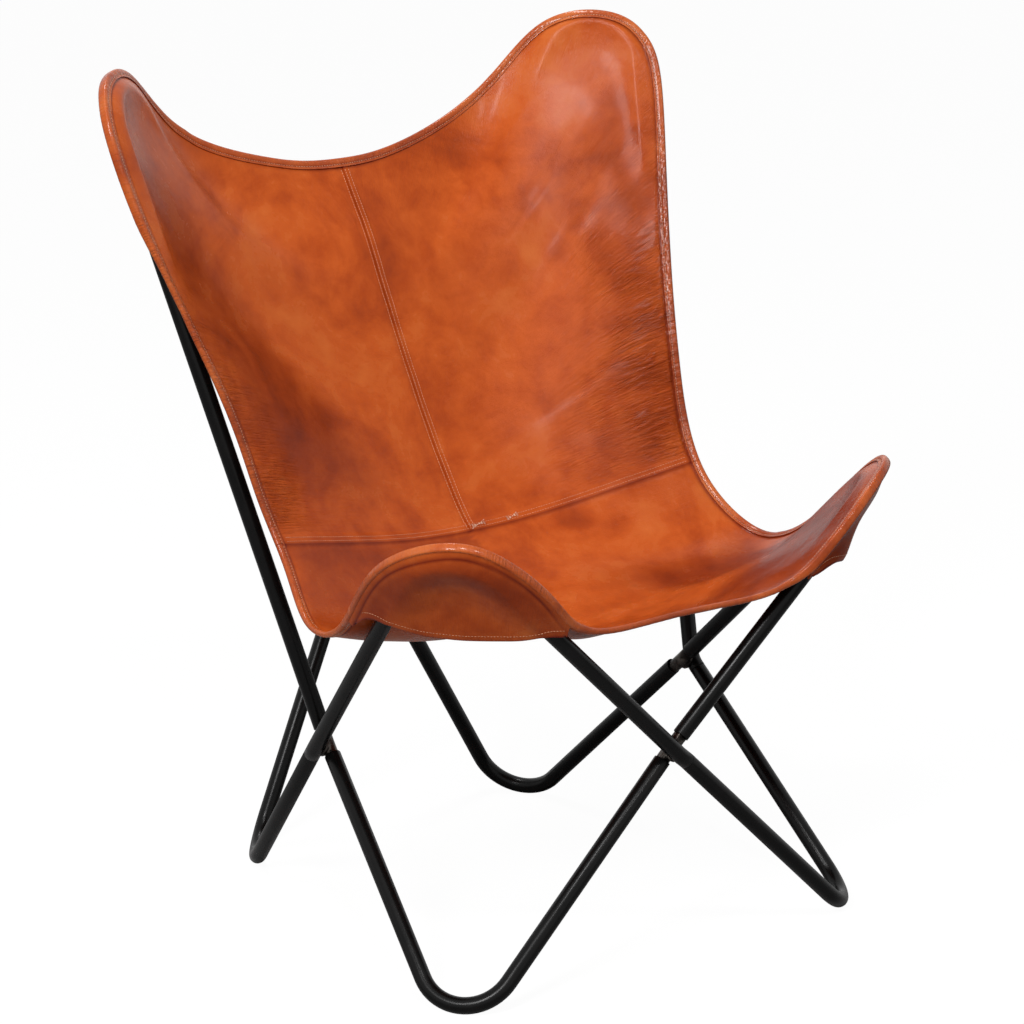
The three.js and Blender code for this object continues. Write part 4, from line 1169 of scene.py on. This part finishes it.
stitchSizes = {
    "pitch": 3.3,
    "length": 2.6,
    "thread": 0.72,
    "headingReach": 0.9,
    "besideMiddle": {1: (2.2, 7.0), -1: (2.2,)},
    "earlyRibs": 60,
    "fromTop": 13,
    "toSeamEnds": (12, 2),
    "aboveSeam": (-3.2, -7.8),
    "fromMouth": 8.0,
    "tacks": ((2.5, 24.0), (50.0, 67.0)),
    "tackLines": 4,
    "tackFan": ((-1.5, -1.7), (-10.5, 1.9)),
    "tackProud": 0.4,
    "borderProud": 0.05,
}


def modelStitch():
    bpy.ops.object.select_all(action="DESELECT")
    bpy.ops.mesh.primitive_uv_sphere_add(segments=6, ring_count=4, radius=0.5)
    piece = bpy.context.object
    bpy.ops.transform.rotate(value=math.pi / 2, orient_axis="Y", center_override=(0, 0, 0))
    bpy.ops.object.transform_apply(location=False, rotation=True, scale=False)
    shape = np.array([vertex.co[:] for vertex in piece.data.vertices])
    faces = [list(polygon.vertices) for polygon in piece.data.polygons]
    bpy.data.objects.remove(piece)
    return shape, faces


stitchShape, stitchFaces = modelStitch()


def placesAt(where, measures, places):
    # Places on a line where a measure that grows along it has the wanted values
    return np.stack([np.interp(where, measures, places[:, axis]) for axis in range(3)], -1)


def stitchPiece(name, lines, material):
    # Each line is a row of places in mm with its normals. Returns one piece with every stitch of those lines.
    placed = []
    pitch, reach = stitchSizes["pitch"], stitchSizes["headingReach"]
    for points, normals in lines:
        total = lengthsAlong(points[:, None, :], 0)[:, 0]
        count = int(total[-1] / pitch)
        middle = (total[-1] - (count - 1) * pitch) / 2 + pitch * np.arange(count)
        centre, up = placesAt(middle, total, points), units(placesAt(middle, total, normals))
        heading = units(placesAt(middle + reach, total, points) - placesAt(middle - reach, total, points))
        across = units(np.cross(up, heading))
        placed.append((centre, heading, across, units(np.cross(heading, across))))
    centre, *axes = [np.concatenate(part) for part in zip(*placed)]
    local = stitchShape * np.array((stitchSizes["length"], stitchSizes["thread"], stitchSizes["thread"]))
    corners = centre[:, None] + sum(axis[:, None] * local[None, :, i:i + 1] for i, axis in enumerate(axes))
    steps = (len(stitchShape) * np.arange(len(centre))).tolist()
    faces = [[index + start for index in face] for start in steps for face in stitchFaces]
    piece = meshPiece(name, corners.reshape(-1, 3), faces)
    bpy.ops.object.shade_smooth()
    piece.data.materials.append(material)
    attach(piece, "root")
    return piece


def borderLines(halves):
    # The sewn line of a border, on its face and on its rear
    distances = halves[1]["distances"]
    stitch = int(np.argmin(np.abs(distances[:len(distances) // 2] - borderSizes["stitchLine"])))
    lines = []
    for side, grid in halves.items():
        for column, up in ((-1 - stitch, grid["normal"]), (stitch, -grid["rearFacing"])):
            points = grid["outer"][:, column] + up * stitchSizes["borderProud"]
            lines.append((toSide(points, side), toSide(up, side)))
    return lines


def crossings(value, tracks):
    # The places and normals where the measure of each track reaches the value
    found = [[placesAt(value, measures, part) for part in parts] for measures, *parts in tracks]
    return np.array(found).transpose(1, 0, 2)


def besideMiddle(sheet, distance):
    # On the face at one distance from the middle, along which the first rib runs and at which the others end
    face, normals, toSeam = sheet["face"], sheet["normals"], sheet["toSeam"][:, -1]
    early, fromTop = slice(0, stitchSizes["earlyRibs"]), sheet["fromRim"][0]
    tracks = [(face[early, column, 0], face[early, column], normals[early, column])
              for column in np.flatnonzero(fromTop[:-1] > stitchSizes["fromTop"])
              if face[early, column, 0].max() > 2 * distance]
    start, stop = stitchSizes["toSeamEnds"]
    tracks += [(face[row, ::-1, 0], face[row, ::-1], normals[row, ::-1])
               for row in np.flatnonzero((toSeam < -stop) & (toSeam > toSeam[0] + start))]
    line = crossings(distance, tracks)
    return line[:, np.argsort(-line[0][:, 2])]


def alongSeam(sheet, distance):
    # On the face at one distance from the cross seam
    columns = np.flatnonzero(sheet["fromRim"][sheet["seam"]] > creaseSizes["seamFade"][1])
    parts = [sheet[key] for key in ("toSeam", "face", "normals")]
    return crossings(distance, [[part[:, column] for part in parts] for column in columns])


def tackLine(first, second):
    # A row of thread between two places given as distances from the middle and from the cross seam
    (points, normals), (others, _) = (alongSeam(sheets[1], toSeam) for _, toSeam in (first, second))
    start, stop = (placesAt(place[0], line[::-1, 0], line[::-1])
                   for place, line in ((first, points), (second, others)))
    share = np.linspace(0, 1, 9)[:, None]
    line = start * (1 - share) + stop * share
    return line + normals[-1] * stitchSizes["tackProud"], np.repeat(normals[-1:], len(share), 0)


def seamStitches(side):
    lines = [besideMiddle(sheets[side], distance) for distance in stitchSizes["besideMiddle"][side]]
    lines += [alongSeam(sheets[side], distance) for distance in stitchSizes["aboveSeam"]]
    return [toSide(line, side) for line in lines]


def tackStitches():
    # Crossed tacks beside the place where the two seams meet
    (low, lower), (high, higher) = stitchSizes["tackFan"]
    return [tackLine((start, low + lower * index), (stop, high + higher * index))
            for start, stop in stitchSizes["tacks"] for index in range(stitchSizes["tackLines"])]


def pocketLine(side, grid):
    rear = grid["points"] - grid["normals"] * slingSizes["leather"] / 2
    tracks = [(grid["toMouth"][row, ::-1], rear[row, ::-1], -grid["normals"][row, ::-1])
              for row in np.flatnonzero(grid["toMouth"][:, 0] > 2.5 * stitchSizes["fromMouth"])]
    return toSide(crossings(stitchSizes["fromMouth"], tracks), side)


sewn = {
    "backPanelLeft": [stitchPiece("leftSeamStitches", seamStitches(-1), thread)],
    "backPanelRight": [stitchPiece("rightSeamStitches", seamStitches(1), thread),
                       stitchPiece("crossedTacks", tackStitches(), tackThread)],
    "backBorder": [stitchPiece("backBorderStitches", borderLines(backBorder), thread)],
    "seatBorder": [stitchPiece("seatBorderStitches", borderLines(seatBorder), thread)],
}
for (_, side), (pocket, grid) in pockets.items():
    sewn[pocket.name] = [stitchPiece(f"{pocket.name}Stitches", [pocketLine(side, grid)], thread)]
print("stitches done")

# Floor, background and light

stageSizes = {
    "floor": 14.0,
    "paint": 0.5,
    "glow": 1.1,
    "shadow": 0.12,
    "ambient": 0.1,
}
white = (1, 1, 1, 1)
lamps = {  # where each stands and aims, its size in metres and its power in watts
    "keyLamp": ((-2.69, -1.39, 2.53), (0.2, 0, 0.6), 0.7, 78),
    "glintLamp": ((-1.14, -1.43, 2.77), (0.3, 0.1, 0.65), 0.35, 28),
    "rimLamp": ((-0.15, -2.1, 2.6), (0.3, 0.2, 0.8), 0.25, 13),
    "topLamp": ((0.2, 0.9, 2.8), (0, 0, 0.5), 0.5, 20),
}


def addFloor():
    bpy.ops.object.select_all(action="DESELECT")
    bpy.ops.mesh.primitive_plane_add(size=stageSizes["floor"], location=(0, 0, 0))
    floor = bpy.context.object
    floor.name = "paleFloor"
    material, tree, surface = newMaterial("paleStudioFloor")
    path = addNode(tree, "LightPath").outputs["Is Camera Ray"]
    paint = addNode(tree, "BsdfDiffuse", {"Color": (*[stageSizes["paint"]] * 3, 1)}).outputs["BSDF"]
    glow = addNode(tree, "Emission", {"Color": white, "Strength": stageSizes["glow"]})
    seen = addNode(tree, "MixShader", {0: 1 - stageSizes["shadow"]},
                   {1: paint, 2: glow.outputs["Emission"]})
    mixed = addNode(tree, "MixShader", {}, {0: path, 1: paint, 2: seen.outputs["Shader"]})
    tree.links.new(mixed.outputs["Shader"], surface)
    floor.data.materials.append(material)


def addWorld():
    # White to the camera and in reflections, dim as a light
    world = bpy.data.worlds.new("paleStudio")
    bpy.context.scene.world = world
    tree, surface = emptyTree(world, "OutputWorld")
    path = addNode(tree, "LightPath").outputs
    straight = addMath(tree, "MAXIMUM", path["Is Camera Ray"], path["Is Glossy Ray"])
    straight = addMath(tree, "MAXIMUM", straight, path["Is Transmission Ray"])
    strength = addRange(tree, straight, 0, 1, stageSizes["ambient"], 1)
    back = addNode(tree, "Background", {"Color": white}, {"Strength": strength})
    tree.links.new(back.outputs["Background"], surface)


def addSoftLamp(name, place, aim, size, power):
    bpy.ops.object.select_all(action="DESELECT")
    bpy.ops.object.light_add(type="AREA", location=place)
    lamp = bpy.context.object
    lamp.name = name
    lamp.data.size = size
    lamp.data.energy = power
    lamp.rotation_euler = (Vector(place) - Vector(aim)).to_track_quat("Z", "Y").to_euler()


addFloor()
addWorld()
for name, lamp in lamps.items():
    addSoftLamp(name, *lamp)
print("stage and lamps done")

print("scene built")
